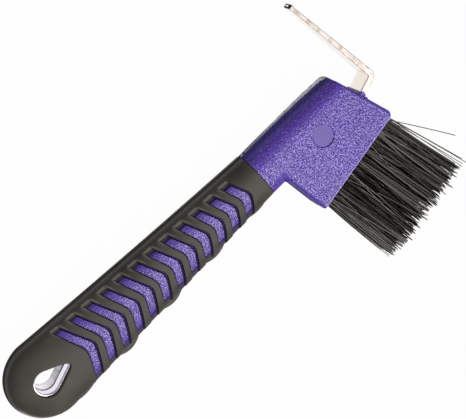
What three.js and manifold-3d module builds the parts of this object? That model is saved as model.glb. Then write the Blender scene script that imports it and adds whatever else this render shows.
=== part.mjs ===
// A hoof pick with a brush, lying on its side as it is laid on a shelf.
// The handle runs along X from the butt (-X) to the head (+X), the steel pick hooks towards +Y, the brush
// points towards -Y, and +Z is the face that looks up. All sizes are millimetres.
//
// How the real one is made: a polypropylene core is one moulding, with the head, the neck and the handle's
// inside. The bent steel strip is moulded into the head. A rubber sleeve is moulded over the handle, with
// chevron grooves whose windows let the core's pads show. A bright eyelet lines the hanging hole. Each tuft
// of bristles is folded round a wire anchor and driven into its own drilled hole in the brush face.
//
// Sizes are laid out from a drawing point at the centre of the round recess in the head's upper face, with
// z = 0 on the rest plane. The last lines move the whole to the middle of its own box.

import * as THREE from "three";
import { mergeVertices } from "three/addons/utils/BufferGeometryUtils.js";
import Module from "manifold-3d";

const wasm = await Module();
wasm.setup();

// ---------------------------------------------------------------- driving dimensions

const THICKNESS = 18; // head and grip, rest plane to upper face
const MIDDLE_Z = THICKNESS / 2;
const GAP = 0.3; // clearance kept between touching pieces

const SPINE_Y = 16.8; // straight back of the head and neck
const NECK_FINGER_Y = -5.1; // finger side of the neck
const SECTION_POWER = 2.5; // superellipse exponent of the neck and grip sections

const GRIP_FRONT_X = -32; // where the rubber ends at the neck
const BUTT_CENTRE_X = -156; // centre of the rounded butt
const BUTT_REACH = 18.7; // from that centre to the end
const RUBBER_DEPTH = 2.0; // rubber thickness over the core
const GROOVE_DEPTH = 0.9; // chevron grooves below the rubber's surface

const CHEVRONS = 12; // on each face
const CHEVRON_FRONT_X = -39.7; // front apex of the chevron nearest the head
const CHEVRON_PITCH = 8.28;
const CHEVRON_WIDTH = 5.6; // along X, at the apex
const CHEVRON_END_INSET = 2.2; // groove end to the spine side of the grip
const PAD_INSET_SPINE = 2.6; // pad end to groove end, spine side
const PAD_INSET_FINGER = 3.6; // pad end to the finger side of the grip
const PAD_MARGIN_FRONT = 0.95; // pad edge to groove edge, along X
const PAD_MARGIN_REAR = 0.35;

const CRESTS = 5; // finger ridges along the parting plane
const CREST_FRONT_X = -41;
const CREST_PITCH = 27;
const CREST_HALF_LENGTH = 6;
const CREST_HEIGHT = 1.3; // of the first; each next one is higher
const CREST_GROWTH = 0.25;
const CREST_SPREAD = 3; // how far a ridge spreads in z

const HOLE_X = -157.3; // teardrop hanging hole, centre of its round end
const HOLE_Y = 8.6;
const HOLE_RADIUS = 5.5;
const HOLE_TIP_RADIUS = 1.5;
const HOLE_TIP_REACH = 10.2; // from the round centre to the tip's centre
const EYELET_WALL = 0.8;
const EYELET_SINK = 1.4; // below the rubber's crown, under its lip

const BRUSH_ANGLE = THREE.MathUtils.degToRad(10.75); // brush face against X
const BRUSH_CORNER = new THREE.Vector2(-20.5, -25.7); // brush face, butt end
const BRUSH_LENGTH = 51; // along the brush face
const END_FACE_FOOT = new THREE.Vector2(23.6, 1.5); // a point on the end face
const END_FACE_ANGLE = THREE.MathUtils.degToRad(19); // its outward normal against X
const EDGE_RADIUS = 1.5; // rounding of the head's face edges
const RECESS_RADIUS = 4.6; // round recess in both faces
const RECESS_DEPTH = 0.5;

const STRIP_WIDTH = 12.7; // half-inch flat steel
const STRIP_THICKNESS = 2.6;
const TANG_LENGTH = 22; // inside the head
const SHANK_LENGTH = 9.5; // end face to the bend's inner corner
const BEND_RADIUS = 1.2; // inside radius
const ARM_ANGLE = THREE.MathUtils.degToRad(97.5); // arm against X
const ARM_LENGTH = 49; // inner corner to tip
const TIP_WIDTH = 6;
const TIP_THICKNESS = 1.5;
const TANG_HOLE_RADIUS = 3; // plastic flows through it and locks the tang

const TUFT_ROWS = 3;
const TUFTS_IN_OUTER_ROW = 9;
const TUFT_PITCH = 5.32;
const TUFT_ROW_SPACING = 5.0;
const FIRST_TUFT = 4.4; // along the brush face from its corner
const TUFT_RADIUS = 1.75;
const TUFT_DEPTH = 9.5; // set into the head
const BRISTLE_LENGTH = 44; // free length
const BRISTLE_FAN = 0.03; // how much the brush widens along its length
const ANCHOR_WIDTH = 3.0;
const ANCHOR_HEIGHT = 1.6;
const ANCHOR_THICKNESS = 0.45;
const STRAY_RADIUS = 0.45; // one bristle that has sprung out

const AROUND = 24; // points round a grip section
const FLAT_ENOUGH = 0.04; // facets closer than this to one plane are merged

const PURPLE = new THREE.MeshStandardMaterial({ color: 0x5f4bb0, roughness: 0.45, metalness: 0 });
const RUBBER = new THREE.MeshStandardMaterial({ color: 0x2b2a28, roughness: 0.6, metalness: 0 });
const STEEL = new THREE.MeshStandardMaterial({ color: 0xd9d5cf, roughness: 0.25, metalness: 1 });
const BRIGHT = new THREE.MeshStandardMaterial({ color: 0xc9c7cc, roughness: 0.3, metalness: 1 });
const BRISTLE = new THREE.MeshStandardMaterial({ color: 0x1b1a19, roughness: 0.5, metalness: 0 });
const WIRE = new THREE.MeshStandardMaterial({ color: 0xb6b2a8, roughness: 0.35, metalness: 1 });

// ---------------------------------------------------------------- solids and meshes

// A closed three.js geometry as a solid that can be joined and cut.
function solid(geometry) {
  const bare = geometry.clone();
  bare.deleteAttribute("normal");
  bare.deleteAttribute("uv");
  const merged = mergeVertices(bare, 1e-4);
  return new wasm.Manifold(
    new wasm.Mesh({
      numProp: 3,
      vertProperties: merged.attributes.position.array,
      triVerts: new Uint32Array(merged.index.array),
    }),
  );
}

function geometryOf(body) {
  const mesh = body.getMesh();
  const geometry = new THREE.BufferGeometry();
  geometry.setAttribute("position", new THREE.BufferAttribute(mesh.vertProperties, 3));
  geometry.setIndex(new THREE.BufferAttribute(mesh.triVerts, 1));
  geometry.computeVertexNormals();
  return geometry;
}

const group = new THREE.Group();

function addPiece(name, body, material) {
  const mesh = new THREE.Mesh(geometryOf(body.simplify(FLAT_ENOUGH)), material);
  mesh.name = name;
  group.add(mesh);
  return mesh;
}

// A skin over rings of equally many points, with each end closed by a fan to the ring's middle.
function loft(rings) {
  const count = rings[0].length;
  const points = rings.flat();
  const faces = [];
  for (let r = 0; r + 1 < rings.length; r++) {
    for (let i = 0; i < count; i++) {
      const a = r * count + i;
      const b = r * count + ((i + 1) % count);
      faces.push(a, b, b + count, a, b + count, a + count);
    }
  }
  for (const [ring, facesOut] of [[0, false], [rings.length - 1, true]]) {
    const middle = rings[ring]
      .reduce((sum, p) => sum.add(p), new THREE.Vector3())
      .divideScalar(count);
    const hub = points.push(middle) - 1;
    for (let i = 0; i < count; i++) {
      const a = ring * count + i;
      const b = ring * count + ((i + 1) % count);
      faces.push(...(facesOut ? [a, b, hub] : [b, a, hub]));
    }
  }
  const geometry = new THREE.BufferGeometry().setFromPoints(points);
  geometry.setIndex(faces);
  return geometry;
}

// A flat outline carried straight up from z0 to z1.
function prism(shape, z0, z1, curveSegments = 8) {
  const geometry = new THREE.ExtrudeGeometry(shape, {
    depth: z1 - z0,
    bevelEnabled: false,
    curveSegments,
  });
  return solid(geometry.translate(0, 0, z0));
}

// The points of a closed outline through corners { at, radius }. A corner with a radius becomes a tangent
// arc of so many segments.
function roundedPoints(corners, segments = 5) {
  return corners.flatMap(({ at, radius }, i) => {
    if (!radius) return [at.clone()];
    const before = corners.at(i - 1).at.clone().sub(at).normalize();
    const after = corners[(i + 1) % corners.length].at.clone().sub(at).normalize();
    const half = Math.acos(before.dot(after)) / 2;
    const reach = radius / Math.tan(half);
    const inward = before.clone().add(after).normalize();
    const centre = at.clone().addScaledVector(inward, radius / Math.sin(half));
    const start = at.clone().addScaledVector(before, reach).sub(centre).angle();
    const end = at.clone().addScaledVector(after, reach).sub(centre).angle();
    const turn = ((end - start + 3 * Math.PI) % (2 * Math.PI)) - Math.PI;
    return Array.from({ length: segments + 1 }, (_, k) =>
      new THREE.Vector2(radius * Math.cos(start + (turn * k) / segments), 0)
        .setY(radius * Math.sin(start + (turn * k) / segments))
        .add(centre),
    );
  });
}

// The corners of a convex outline after all its sides have moved in by inset.
function insetCorners(corners, inset) {
  return corners.map(({ at, radius }, i) => {
    const before = corners.at(i - 1).at.clone().sub(at).normalize();
    const after = corners[(i + 1) % corners.length].at.clone().sub(at).normalize();
    const half = Math.acos(before.dot(after)) / 2;
    const inward = before.add(after).normalize();
    return {
      at: at.clone().addScaledVector(inward, inset / Math.sin(half)),
      radius: radius && Math.max(0.3, radius - inset),
    };
  });
}

// ---------------------------------------------------------------- shape of the grip

// The grip tapers from the butt to the neck. Both sides are gentle curves of the distance from the neck.
function spineSide(x) {
  const back = Math.max(0, -30 - x);
  return SPINE_Y + 0.0607 * back + 0.000125 * back * back;
}

function fingerSide(x) {
  const back = Math.max(0, -30 - x);
  return NECK_FINGER_Y - 0.034 * back - 0.00002 * back * back;
}

const centreLine = (x) => (spineSide(x) + fingerSide(x)) / 2;

// How far the finger ridges stand out at x: low arcs with flat valleys between them.
function crest(x) {
  const nearest = THREE.MathUtils.clamp(Math.round((CREST_FRONT_X - x) / CREST_PITCH), 0, CRESTS - 1);
  const away = (x - (CREST_FRONT_X - CREST_PITCH * nearest)) / CREST_HALF_LENGTH;
  return (CREST_HEIGHT + CREST_GROWTH * nearest) * Math.max(0, 1 - away * away);
}

// One superellipse section of the grip at x, shrunk all round by inset. Past the butt's centre the section
// narrows as a circle seen from above, and its height falls with the distance from that centre.
function gripRing(x, inset) {
  const beyond = Math.max(0, BUTT_CENTRE_X - x);
  const share = Math.min(1, beyond / (BUTT_REACH - inset));
  const fullX = Math.max(x, BUTT_CENTRE_X);
  const y = centreLine(fullX);
  const halfWidth = ((spineSide(fullX) - fingerSide(fullX)) / 2 - inset) * Math.sqrt(1 - share * share);
  const ring = [];
  for (let i = 0; i < AROUND; i++) {
    const angle = (2 * Math.PI * i) / AROUND;
    const across = Math.sign(Math.cos(angle)) * Math.abs(Math.cos(angle)) ** (2 / SECTION_POWER);
    const out = share * share + (1 - share * share) * across * across;
    const rise = Math.max(0, 1 - out ** (SECTION_POWER / 2)) ** (1 / SECTION_POWER);
    const height = Math.sign(Math.sin(angle)) * (MIDDLE_Z - inset) * rise;
    const ridge = across < 0 && inset < 0.5 * RUBBER_DEPTH ? crest(x) * -across : 0;
    const spread = Math.exp(-((height / CREST_SPREAD) ** 2));
    ring.push(new THREE.Vector3(x, y + halfWidth * across - ridge * spread, MIDDLE_Z + height));
  }
  return ring;
}

// The grip's whole form, shrunk by inset, from the butt to x = front.
function gripForm(inset, front, steps = 6) {
  const reach = BUTT_REACH - inset;
  const rings = [];
  for (let i = 0; i < 6; i++) {
    const angle = (Math.PI / 2) * ((i + 0.35) / 6);
    rings.push(gripRing(BUTT_CENTRE_X - reach * Math.cos(angle), inset));
  }
  for (let i = 0; i <= steps; i++) {
    rings.push(gripRing(THREE.MathUtils.lerp(BUTT_CENTRE_X, front, i / steps), inset));
  }
  return solid(loft(rings));
}

// ---------------------------------------------------------------- chevrons

// The apex sits a little to the finger side of the middle. Each edge falls back towards the butt on both
// sides of a short flat; the rear edge falls back less, so the chevron narrows towards its ends.
function chevronEdge(apexX, y, slopeSpine, slopeFinger) {
  const middle = centreLine(apexX) - 0.5;
  const flat = 1.2;
  const spineReach = Math.max(0, y - middle - flat);
  const fingerReach = Math.max(0, middle - flat - y);
  return apexX - slopeSpine * spineReach - slopeFinger * fingerReach;
}

// The outline of one chevron between y = low and y = high, its edges moved in by the margins.
function chevronShape(apexX, low, high, marginFront, marginRear) {
  const middle = centreLine(apexX) - 0.5;
  const front = apexX - marginFront;
  const rear = apexX - CHEVRON_WIDTH + marginRear;
  const shape = new THREE.Shape();
  const frontAt = (y) => chevronEdge(front, y, 0.45, 0.5);
  const rearAt = (y) => chevronEdge(rear, y, 0.34, 0.42);
  const stops = [high, middle + 1.2, middle - 1.2, low];
  shape.moveTo(frontAt(stops[0]), stops[0]);
  for (const y of stops.slice(1)) shape.lineTo(frontAt(y), y);
  for (const y of stops.toReversed()) shape.lineTo(rearAt(y), y);
  shape.closePath();
  return shape;
}

const chevronApexes = Array.from({ length: CHEVRONS }, (_, i) => CHEVRON_FRONT_X - CHEVRON_PITCH * i);
const GROOVE_FLOOR_Z = 2.2; // grooves stop this far from the parting plane

// All chevrons of both faces as upright prisms. The upper set stands on the parting plane, the lower set
// hangs from it.
function chevronPrisms(lowOf, highOf, marginFront, marginRear) {
  const prisms = [];
  for (const apexX of chevronApexes) {
    const x = apexX - CHEVRON_WIDTH;
    const shape = chevronShape(apexX, lowOf(x), highOf(x), marginFront, marginRear);
    prisms.push(prism(shape, MIDDLE_Z + GROOVE_FLOOR_Z, THICKNESS + 2));
    prisms.push(prism(shape, -2, MIDDLE_Z - GROOVE_FLOOR_Z));
  }
  return wasm.Manifold.union(prisms);
}

const grooveEnd = (x) => spineSide(x) - CHEVRON_END_INSET;
const padSpineEnd = (x) => grooveEnd(x) - PAD_INSET_SPINE;
const padFingerEnd = (x) => fingerSide(x) + PAD_INSET_FINGER;
const beyondFinger = (x) => fingerSide(x) - 4;

// ---------------------------------------------------------------- hanging hole and eyelet

// The teardrop: a round end joined by tangents to a small round tip that points at the head.
function teardrop(grow) {
  const shape = new THREE.Shape();
  const round = HOLE_RADIUS + grow;
  const tip = HOLE_TIP_RADIUS + grow;
  const lean = Math.acos((round - tip) / HOLE_TIP_REACH);
  shape.absarc(0, 0, round, lean, 2 * Math.PI - lean, false);
  shape.absarc(HOLE_TIP_REACH, 0, tip, -lean, lean, false);
  return shape;
}

const HOLE_TURN = THREE.MathUtils.degToRad(-3); // the tip leans a little to the finger side

function teardropPrism(grow, z0, z1) {
  return prism(teardrop(grow), z0, z1, 9)
    .rotate([0, 0, THREE.MathUtils.radToDeg(HOLE_TURN)])
    .translate([HOLE_X, HOLE_Y, 0]);
}

function eyelet() {
  const wall = teardropPrism(EYELET_WALL, EYELET_SINK, THICKNESS - EYELET_SINK);
  return wall.subtract(teardropPrism(0, -1, THICKNESS + 1));
}

// The room that the core and the rubber leave for the eyelet. The rubber closes over both its ends.
function eyeletRoom() {
  return teardropPrism(EYELET_WALL + GAP, EYELET_SINK - GAP, THICKNESS - EYELET_SINK + GAP);
}

// ---------------------------------------------------------------- steel pick

// The strip's middle line in the XY plane: tang, shank, bend and arm.
const SHANK_DIRECTION = new THREE.Vector2(Math.cos(END_FACE_ANGLE), Math.sin(END_FACE_ANGLE));
const ARM_DIRECTION = new THREE.Vector2(Math.cos(ARM_ANGLE), Math.sin(ARM_ANGLE));
const SHANK_LEFT = new THREE.Vector2(-SHANK_DIRECTION.y, SHANK_DIRECTION.x);
const ARM_LEFT = new THREE.Vector2(-ARM_DIRECTION.y, ARM_DIRECTION.x);

// The point where the strip's inner (hook side) face leaves the end face.
const SHANK_FOOT = END_FACE_FOOT.clone().addScaledVector(SHANK_LEFT, -0.9);
const INNER_CORNER = SHANK_FOOT.clone().addScaledVector(SHANK_DIRECTION, SHANK_LENGTH);

// The strip's side view, as an outline in XY. The arm thins towards its chisel tip.
function pickSideView(grow) {
  const outer = STRIP_THICKNESS + grow;
  const tangEnd = SHANK_FOOT.clone().addScaledVector(SHANK_DIRECTION, -TANG_LENGTH - grow);
  const tip = INNER_CORNER.clone().addScaledVector(ARM_DIRECTION, ARM_LENGTH);
  const bend = ARM_ANGLE - END_FACE_ANGLE;
  const outerReach = (STRIP_THICKNESS + outer * Math.cos(bend)) / Math.sin(bend);
  const outerCorner = INNER_CORNER.clone()
    .addScaledVector(SHANK_LEFT, -outer)
    .addScaledVector(SHANK_DIRECTION, outerReach);
  const at = (point, left, offset) => point.clone().addScaledVector(left, offset);
  const corners = [
    { at: at(tangEnd, SHANK_LEFT, -outer), radius: 0 },
    { at: outerCorner, radius: BEND_RADIUS + STRIP_THICKNESS },
    { at: at(tip, ARM_LEFT, -TIP_THICKNESS).addScaledVector(ARM_DIRECTION, -1.6), radius: 0.5 },
    { at: tip, radius: 0.5 },
    { at: at(INNER_CORNER, SHANK_LEFT, grow), radius: BEND_RADIUS },
    { at: at(tangEnd, SHANK_LEFT, grow), radius: 0 },
  ];
  return new THREE.Shape(roundedPoints(corners));
}

// The strip's plan on the arm: full width at the bend, narrowing to a rounded tip. It is cut square to the
// arm, so it is drawn along the arm and turned into place.
function armTaper() {
  const half = STRIP_WIDTH / 2;
  const tipHalf = TIP_WIDTH / 2;
  const corners = [
    { at: new THREE.Vector2(-70, -half), radius: 0 },
    { at: new THREE.Vector2(6, -half), radius: 12 },
    { at: new THREE.Vector2(ARM_LENGTH, -tipHalf), radius: 1.6 },
    { at: new THREE.Vector2(ARM_LENGTH, tipHalf), radius: 1.6 },
    { at: new THREE.Vector2(6, half), radius: 12 },
    { at: new THREE.Vector2(-70, half), radius: 0 },
  ];
  return prism(new THREE.Shape(roundedPoints(corners)), -60, 60)
    .rotate([90, 0, 0])
    .rotate([0, 0, THREE.MathUtils.radToDeg(ARM_ANGLE)])
    .translate([INNER_CORNER.x, INNER_CORNER.y, MIDDLE_Z]);
}

function pickSolid() {
  const half = STRIP_WIDTH / 2;
  const strip = prism(pickSideView(0), MIDDLE_Z - half, MIDDLE_Z + half, 6);
  return strip.intersect(armTaper()).subtract(tangHole(TANG_HOLE_RADIUS));
}

// A round bar across the tang, square to its flat, at the middle of the tang.
function tangHole(radius) {
  const bar = new THREE.CylinderGeometry(radius, radius, 4 * STRIP_THICKNESS, 16);
  const middle = SHANK_FOOT.clone()
    .addScaledVector(SHANK_DIRECTION, -TANG_LENGTH * 0.62)
    .addScaledVector(SHANK_LEFT, -STRIP_THICKNESS / 2);
  return solid(bar)
    .rotate([0, 0, THREE.MathUtils.radToDeg(END_FACE_ANGLE)])
    .translate([middle.x, middle.y, MIDDLE_Z]);
}

// The pocket that the tang fills, with a plastic post left standing through the tang's hole.
function tangPocket() {
  const half = STRIP_WIDTH / 2 + GAP;
  const pocket = prism(pickSideView(GAP), MIDDLE_Z - half, MIDDLE_Z + half, 6);
  return pocket.subtract(tangHole(TANG_HOLE_RADIUS - GAP));
}

// ---------------------------------------------------------------- brush

const ALONG = new THREE.Vector2(Math.cos(BRUSH_ANGLE), Math.sin(BRUSH_ANGLE));
const OUTWARD = new THREE.Vector2(Math.sin(BRUSH_ANGLE), -Math.cos(BRUSH_ANGLE));

// A point of the brush: so far along its face, so far out of it, at height z.
function brushPoint(along, out, z) {
  const p = BRUSH_CORNER.clone().addScaledVector(ALONG, along).addScaledVector(OUTWARD, out);
  return new THREE.Vector3(p.x, p.y, z);
}

// The tufts stand in staggered rows, the middle row one shorter than the outer two.
function tuftPlaces() {
  const places = [];
  for (let row = 0; row < TUFT_ROWS; row++) {
    const shorter = row % 2;
    for (let i = 0; i < TUFTS_IN_OUTER_ROW - shorter; i++) {
      places.push({
        name: `row${row + 1}_${i + 1}`,
        along: FIRST_TUFT + TUFT_PITCH * (i + shorter / 2),
        z: MIDDLE_Z + TUFT_ROW_SPACING * (row - 1),
        last: row === TUFT_ROWS - 1 && i === TUFTS_IN_OUTER_ROW - 1,
      });
    }
  }
  return places;
}

// The fan: the butt end of the brush stays square to its face, the far end leans away from it.
function leanAt(along) {
  return BRISTLE_FAN * (along - FIRST_TUFT);
}

// One ring of a tuft, a square with round corners, halfA along the face and halfZ in height.
function tuftRing(along, out, z, halfA, halfZ, power) {
  const ring = [];
  for (let i = 0; i < 8; i++) {
    const angle = (2 * Math.PI * (i + 0.5)) / 8;
    const a = Math.sign(Math.cos(angle)) * Math.abs(Math.cos(angle)) ** (2 / power);
    const h = Math.sign(Math.sin(angle)) * Math.abs(Math.sin(angle)) ** (2 / power);
    ring.push(brushPoint(along + halfA * a, out, z + halfZ * h));
  }
  return ring;
}

// A tuft is round in its hole and spreads outside it until it meets its neighbours.
function tuftSolid({ along, z, last }) {
  const lean = leanAt(along);
  const spreadA = (TUFT_PITCH * (1 + BRISTLE_FAN)) / 2 - GAP / 2;
  const spreadZ = TUFT_ROW_SPACING / 2 - GAP / 2;
  const rings = [
    tuftRing(along, -TUFT_DEPTH, z, TUFT_RADIUS, TUFT_RADIUS, 2),
    tuftRing(along, 0.5, z, TUFT_RADIUS, TUFT_RADIUS, 2),
    tuftRing(along + lean * 0.3, 14, z, spreadA * 0.93, spreadZ * 0.95, 2.6),
    tuftRing(along + lean, BRISTLE_LENGTH - 1.5, z, spreadA, spreadZ, 3),
    tuftRing(along + lean, BRISTLE_LENGTH, z, spreadA * 0.75, spreadZ * 0.75, 2.5),
  ];
  const tuft = solid(loft(rings)).subtract(anchorBlock(along, z, GAP));
  return last ? tuft.add(strayBristle()) : tuft;
}

// The single bristle that has sprung out of the far corner of the brush.
function strayBristle() {
  const from = brushPoint(FIRST_TUFT + TUFT_PITCH * (TUFTS_IN_OUTER_ROW - 1), 1.5, MIDDLE_Z + TUFT_ROW_SPACING);
  const to = brushPoint(62.0, 36.0, MIDDLE_Z);
  const line = new THREE.LineCurve3(from, to);
  const section = new THREE.Shape().absarc(0, 0, STRAY_RADIUS, 0, 2 * Math.PI);
  return solid(new THREE.ExtrudeGeometry(section, { steps: 1, curveSegments: 3, extrudePath: line }));
}

// The flat wire that a tuft is folded round, near the bottom of its hole.
function anchorBlock(along, z, grow) {
  const reach = grow > 0 ? 2 * TUFT_RADIUS + 1 : ANCHOR_WIDTH;
  const block = new THREE.BoxGeometry(reach, ANCHOR_HEIGHT + 2 * grow, ANCHOR_THICKNESS + 2 * grow);
  const middle = brushPoint(along, -TUFT_DEPTH + 1.2 + ANCHOR_HEIGHT / 2, z);
  return solid(block)
    .rotate([0, 0, THREE.MathUtils.radToDeg(BRUSH_ANGLE)])
    .translate(middle.toArray());
}

function tuftHole({ along, z }) {
  const rings = [-TUFT_DEPTH - GAP, 3].map((out) =>
    tuftRing(along, out, z, TUFT_RADIUS + GAP, TUFT_RADIUS + GAP, 2),
  );
  return solid(loft(rings));
}

// ---------------------------------------------------------------- core

// The head seen from above: the notch side, the brush face, the end face and the spine.
function headCorners() {
  const brushEnd = BRUSH_CORNER.clone().addScaledVector(ALONG, BRUSH_LENGTH);
  const endFaceX = (y) => END_FACE_FOOT.x - Math.tan(END_FACE_ANGLE) * (y - END_FACE_FOOT.y);
  const notchX = (y) => BRUSH_CORNER.x - Math.tan(BRUSH_ANGLE) * (y - BRUSH_CORNER.y);
  const notchY = 3; // the slab's edge runs on up the neck's flank and fades into it
  return [
    { at: new THREE.Vector2(notchX(notchY), notchY), radius: 0 },
    { at: BRUSH_CORNER, radius: 1.8 },
    { at: brushEnd, radius: 2.6 },
    { at: new THREE.Vector2(endFaceX(SPINE_Y), SPINE_Y), radius: 3 },
    { at: new THREE.Vector2(notchX(notchY), SPINE_Y), radius: 0 },
  ];
}

// The neck and head share one spine: half a superellipse, then flat faces towards the brush.
function spineProfile() {
  const halfWidth = (SPINE_Y - NECK_FINGER_Y) / 2;
  const upper = [];
  const steps = 12;
  for (let i = 0; i <= steps; i++) {
    const angle = (Math.PI / 2) * (i / steps);
    const y = SPINE_Y - halfWidth + halfWidth * Math.cos(angle) ** (2 / SECTION_POWER);
    upper.push(new THREE.Vector2(y, MIDDLE_Z * Math.sin(angle) ** (2 / SECTION_POWER)));
  }
  const lower = upper.slice(1).map((p) => new THREE.Vector2(p.x, -p.y));
  const points = [
    ...upper,
    new THREE.Vector2(-40, MIDDLE_Z),
    new THREE.Vector2(-40, -MIDDLE_Z),
    ...lower.toReversed(),
  ];
  const bar = new THREE.ExtrudeGeometry(new THREE.Shape(points), { depth: 80, bevelEnabled: false });
  bar.rotateX(Math.PI / 2).rotateZ(Math.PI / 2);
  return solid(bar.translate(-35, 0, MIDDLE_Z));
}

// The head's slab, its upper and lower edges rounded over.
function headSlab() {
  const rings = [];
  const steps = 3;
  for (let k = -steps; k <= steps; k++) {
    for (const side of k === 0 ? [-1, 1] : [Math.sign(k)]) {
      const angle = (Math.PI / 2) * (Math.abs(k) / steps);
      const inset = EDGE_RADIUS * (1 - Math.cos(angle));
      const z = MIDDLE_Z + side * (MIDDLE_Z - EDGE_RADIUS * (1 - Math.sin(angle)));
      const ring = roundedPoints(insetCorners(headCorners(), inset), 4);
      rings.push(ring.map((p) => new THREE.Vector3(p.x, p.y, z)));
    }
  }
  return solid(loft(rings)).intersect(spineProfile());
}

// The neck: the grip's own form, from where the rubber ends to inside the head.
function neck() {
  const rings = [];
  for (let i = 0; i <= 4; i++) rings.push(gripRing(THREE.MathUtils.lerp(GRIP_FRONT_X + GAP, -14, i / 4), 0));
  return solid(loft(rings));
}

// A half-round bead on the end face that backs the shank against the pull of the hook.
function gusset() {
  const radius = 1.9;
  const bead = new THREE.CylinderGeometry(radius, radius, STRIP_WIDTH - 1, 16);
  const middle = SHANK_FOOT.clone()
    .addScaledVector(SHANK_LEFT, -STRIP_THICKNESS - 1)
    .addScaledVector(SHANK_DIRECTION, -0.4);
  return solid(bead)
    .rotate([90, 0, 0])
    .translate([middle.x, middle.y, MIDDLE_Z]);
}

function recess(z) {
  const disc = new THREE.CylinderGeometry(RECESS_RADIUS, RECESS_RADIUS, 2 * RECESS_DEPTH, 28);
  return solid(disc).rotate([90, 0, 0]).translate([0, 0, z]);
}

function pads() {
  const low = (x) => padFingerEnd(x) + GAP;
  const high = (x) => padSpineEnd(x) - GAP;
  const blanks = chevronPrisms(low, high, PAD_MARGIN_FRONT + GAP, PAD_MARGIN_REAR + GAP);
  return blanks.intersect(gripForm(GROOVE_DEPTH, GRIP_FRONT_X));
}

function coreSolid(tufts) {
  const handle = gripForm(RUBBER_DEPTH + GAP, -20);
  const body = wasm.Manifold.union([headSlab(), neck(), handle, pads(), gusset()]);
  const cuts = [tangPocket(), eyeletRoom(), recess(0), recess(THICKNESS), ...tufts.map(tuftHole)];
  return body.subtract(wasm.Manifold.union(cuts));
}

// ---------------------------------------------------------------- rubber sleeve

function sleeveSolid() {
  const outside = gripForm(0, GRIP_FRONT_X, 22);
  const inside = gripForm(RUBBER_DEPTH, GRIP_FRONT_X + 5);
  const belowGrooves = gripForm(GROOVE_DEPTH, GRIP_FRONT_X + 5);
  const grooves = chevronPrisms(beyondFinger, grooveEnd, 0, 0).subtract(belowGrooves);
  const windows = chevronPrisms(padFingerEnd, padSpineEnd, PAD_MARGIN_FRONT, PAD_MARGIN_REAR);
  const hole = teardropPrism(0, -1, THICKNESS + 1);
  const cuts = [inside, grooves, windows, hole, eyeletRoom()];
  return outside.subtract(wasm.Manifold.union(cuts));
}

// ---------------------------------------------------------------- assembly

const tufts = tuftPlaces();
addPiece("head_and_handle_core", coreSolid(tufts), PURPLE);
addPiece("rubber_grip_sleeve", sleeveSolid(), RUBBER);
addPiece("steel_hoof_pick", pickSolid(), STEEL);
addPiece("hanging_hole_eyelet", eyelet(), BRIGHT);
for (const tuft of tufts) {
  addPiece(`bristle_tuft_${tuft.name}`, tuftSolid(tuft), BRISTLE);
  addPiece(`tuft_anchor_${tuft.name}`, anchorBlock(tuft.along, tuft.z, 0), WIRE);
}

// The origin goes to the middle of the box, on the rest plane.
const box = new THREE.Box3().setFromObject(group);
const centre = box.getCenter(new THREE.Vector3());
for (const mesh of group.children) mesh.position.set(-centre.x, -centre.y, 0);

export default group;
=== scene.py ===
"""A hoof pick with a brush: purple moulded head and handle core, black rubber sleeve with chevron
grooves, bent steel pick, bright hanging eyelet and black nylon bristles.

Shapes are laid out in millimetres from the centre of the round recess in the head, with X from the
butt to the head, Y towards the pick's tip and Z up from the rest plane. build_piece moves them to the
frame. The lower half of each moulding mirrors the upper one.
"""

import functools
import math

import bmesh
import bpy
import numpy as np
from mathutils import Matrix, Vector


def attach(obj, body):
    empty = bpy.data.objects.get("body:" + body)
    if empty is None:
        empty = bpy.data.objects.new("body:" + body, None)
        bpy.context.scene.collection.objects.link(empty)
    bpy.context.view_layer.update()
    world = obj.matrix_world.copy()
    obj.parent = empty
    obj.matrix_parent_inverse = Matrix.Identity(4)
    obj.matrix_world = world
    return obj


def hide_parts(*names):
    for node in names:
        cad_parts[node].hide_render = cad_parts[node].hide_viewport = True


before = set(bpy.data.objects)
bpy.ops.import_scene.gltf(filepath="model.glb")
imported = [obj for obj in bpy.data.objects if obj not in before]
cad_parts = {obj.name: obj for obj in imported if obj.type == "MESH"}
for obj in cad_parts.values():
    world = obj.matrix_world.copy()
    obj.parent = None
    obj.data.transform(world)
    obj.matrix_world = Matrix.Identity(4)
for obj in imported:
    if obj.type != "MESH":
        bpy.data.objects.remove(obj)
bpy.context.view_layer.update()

MM = 0.001
DRAWING_ORIGIN = np.array([63.578, 8.4118, 0.0])  # the recess centre in the frame, mm
HALF_HEIGHT = 9.0  # rest plane to parting plane
WELD = 1.5e-6  # points nearer than this become one, m

# ---------------------------------------------------------------- mesh building

NO_TRIS = np.zeros((0, 3), dtype=np.int64)


def place(name, data):
    """A new object of the scene."""
    made = bpy.data.objects.new(name, data)
    bpy.context.scene.collection.objects.link(made)
    return made


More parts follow.
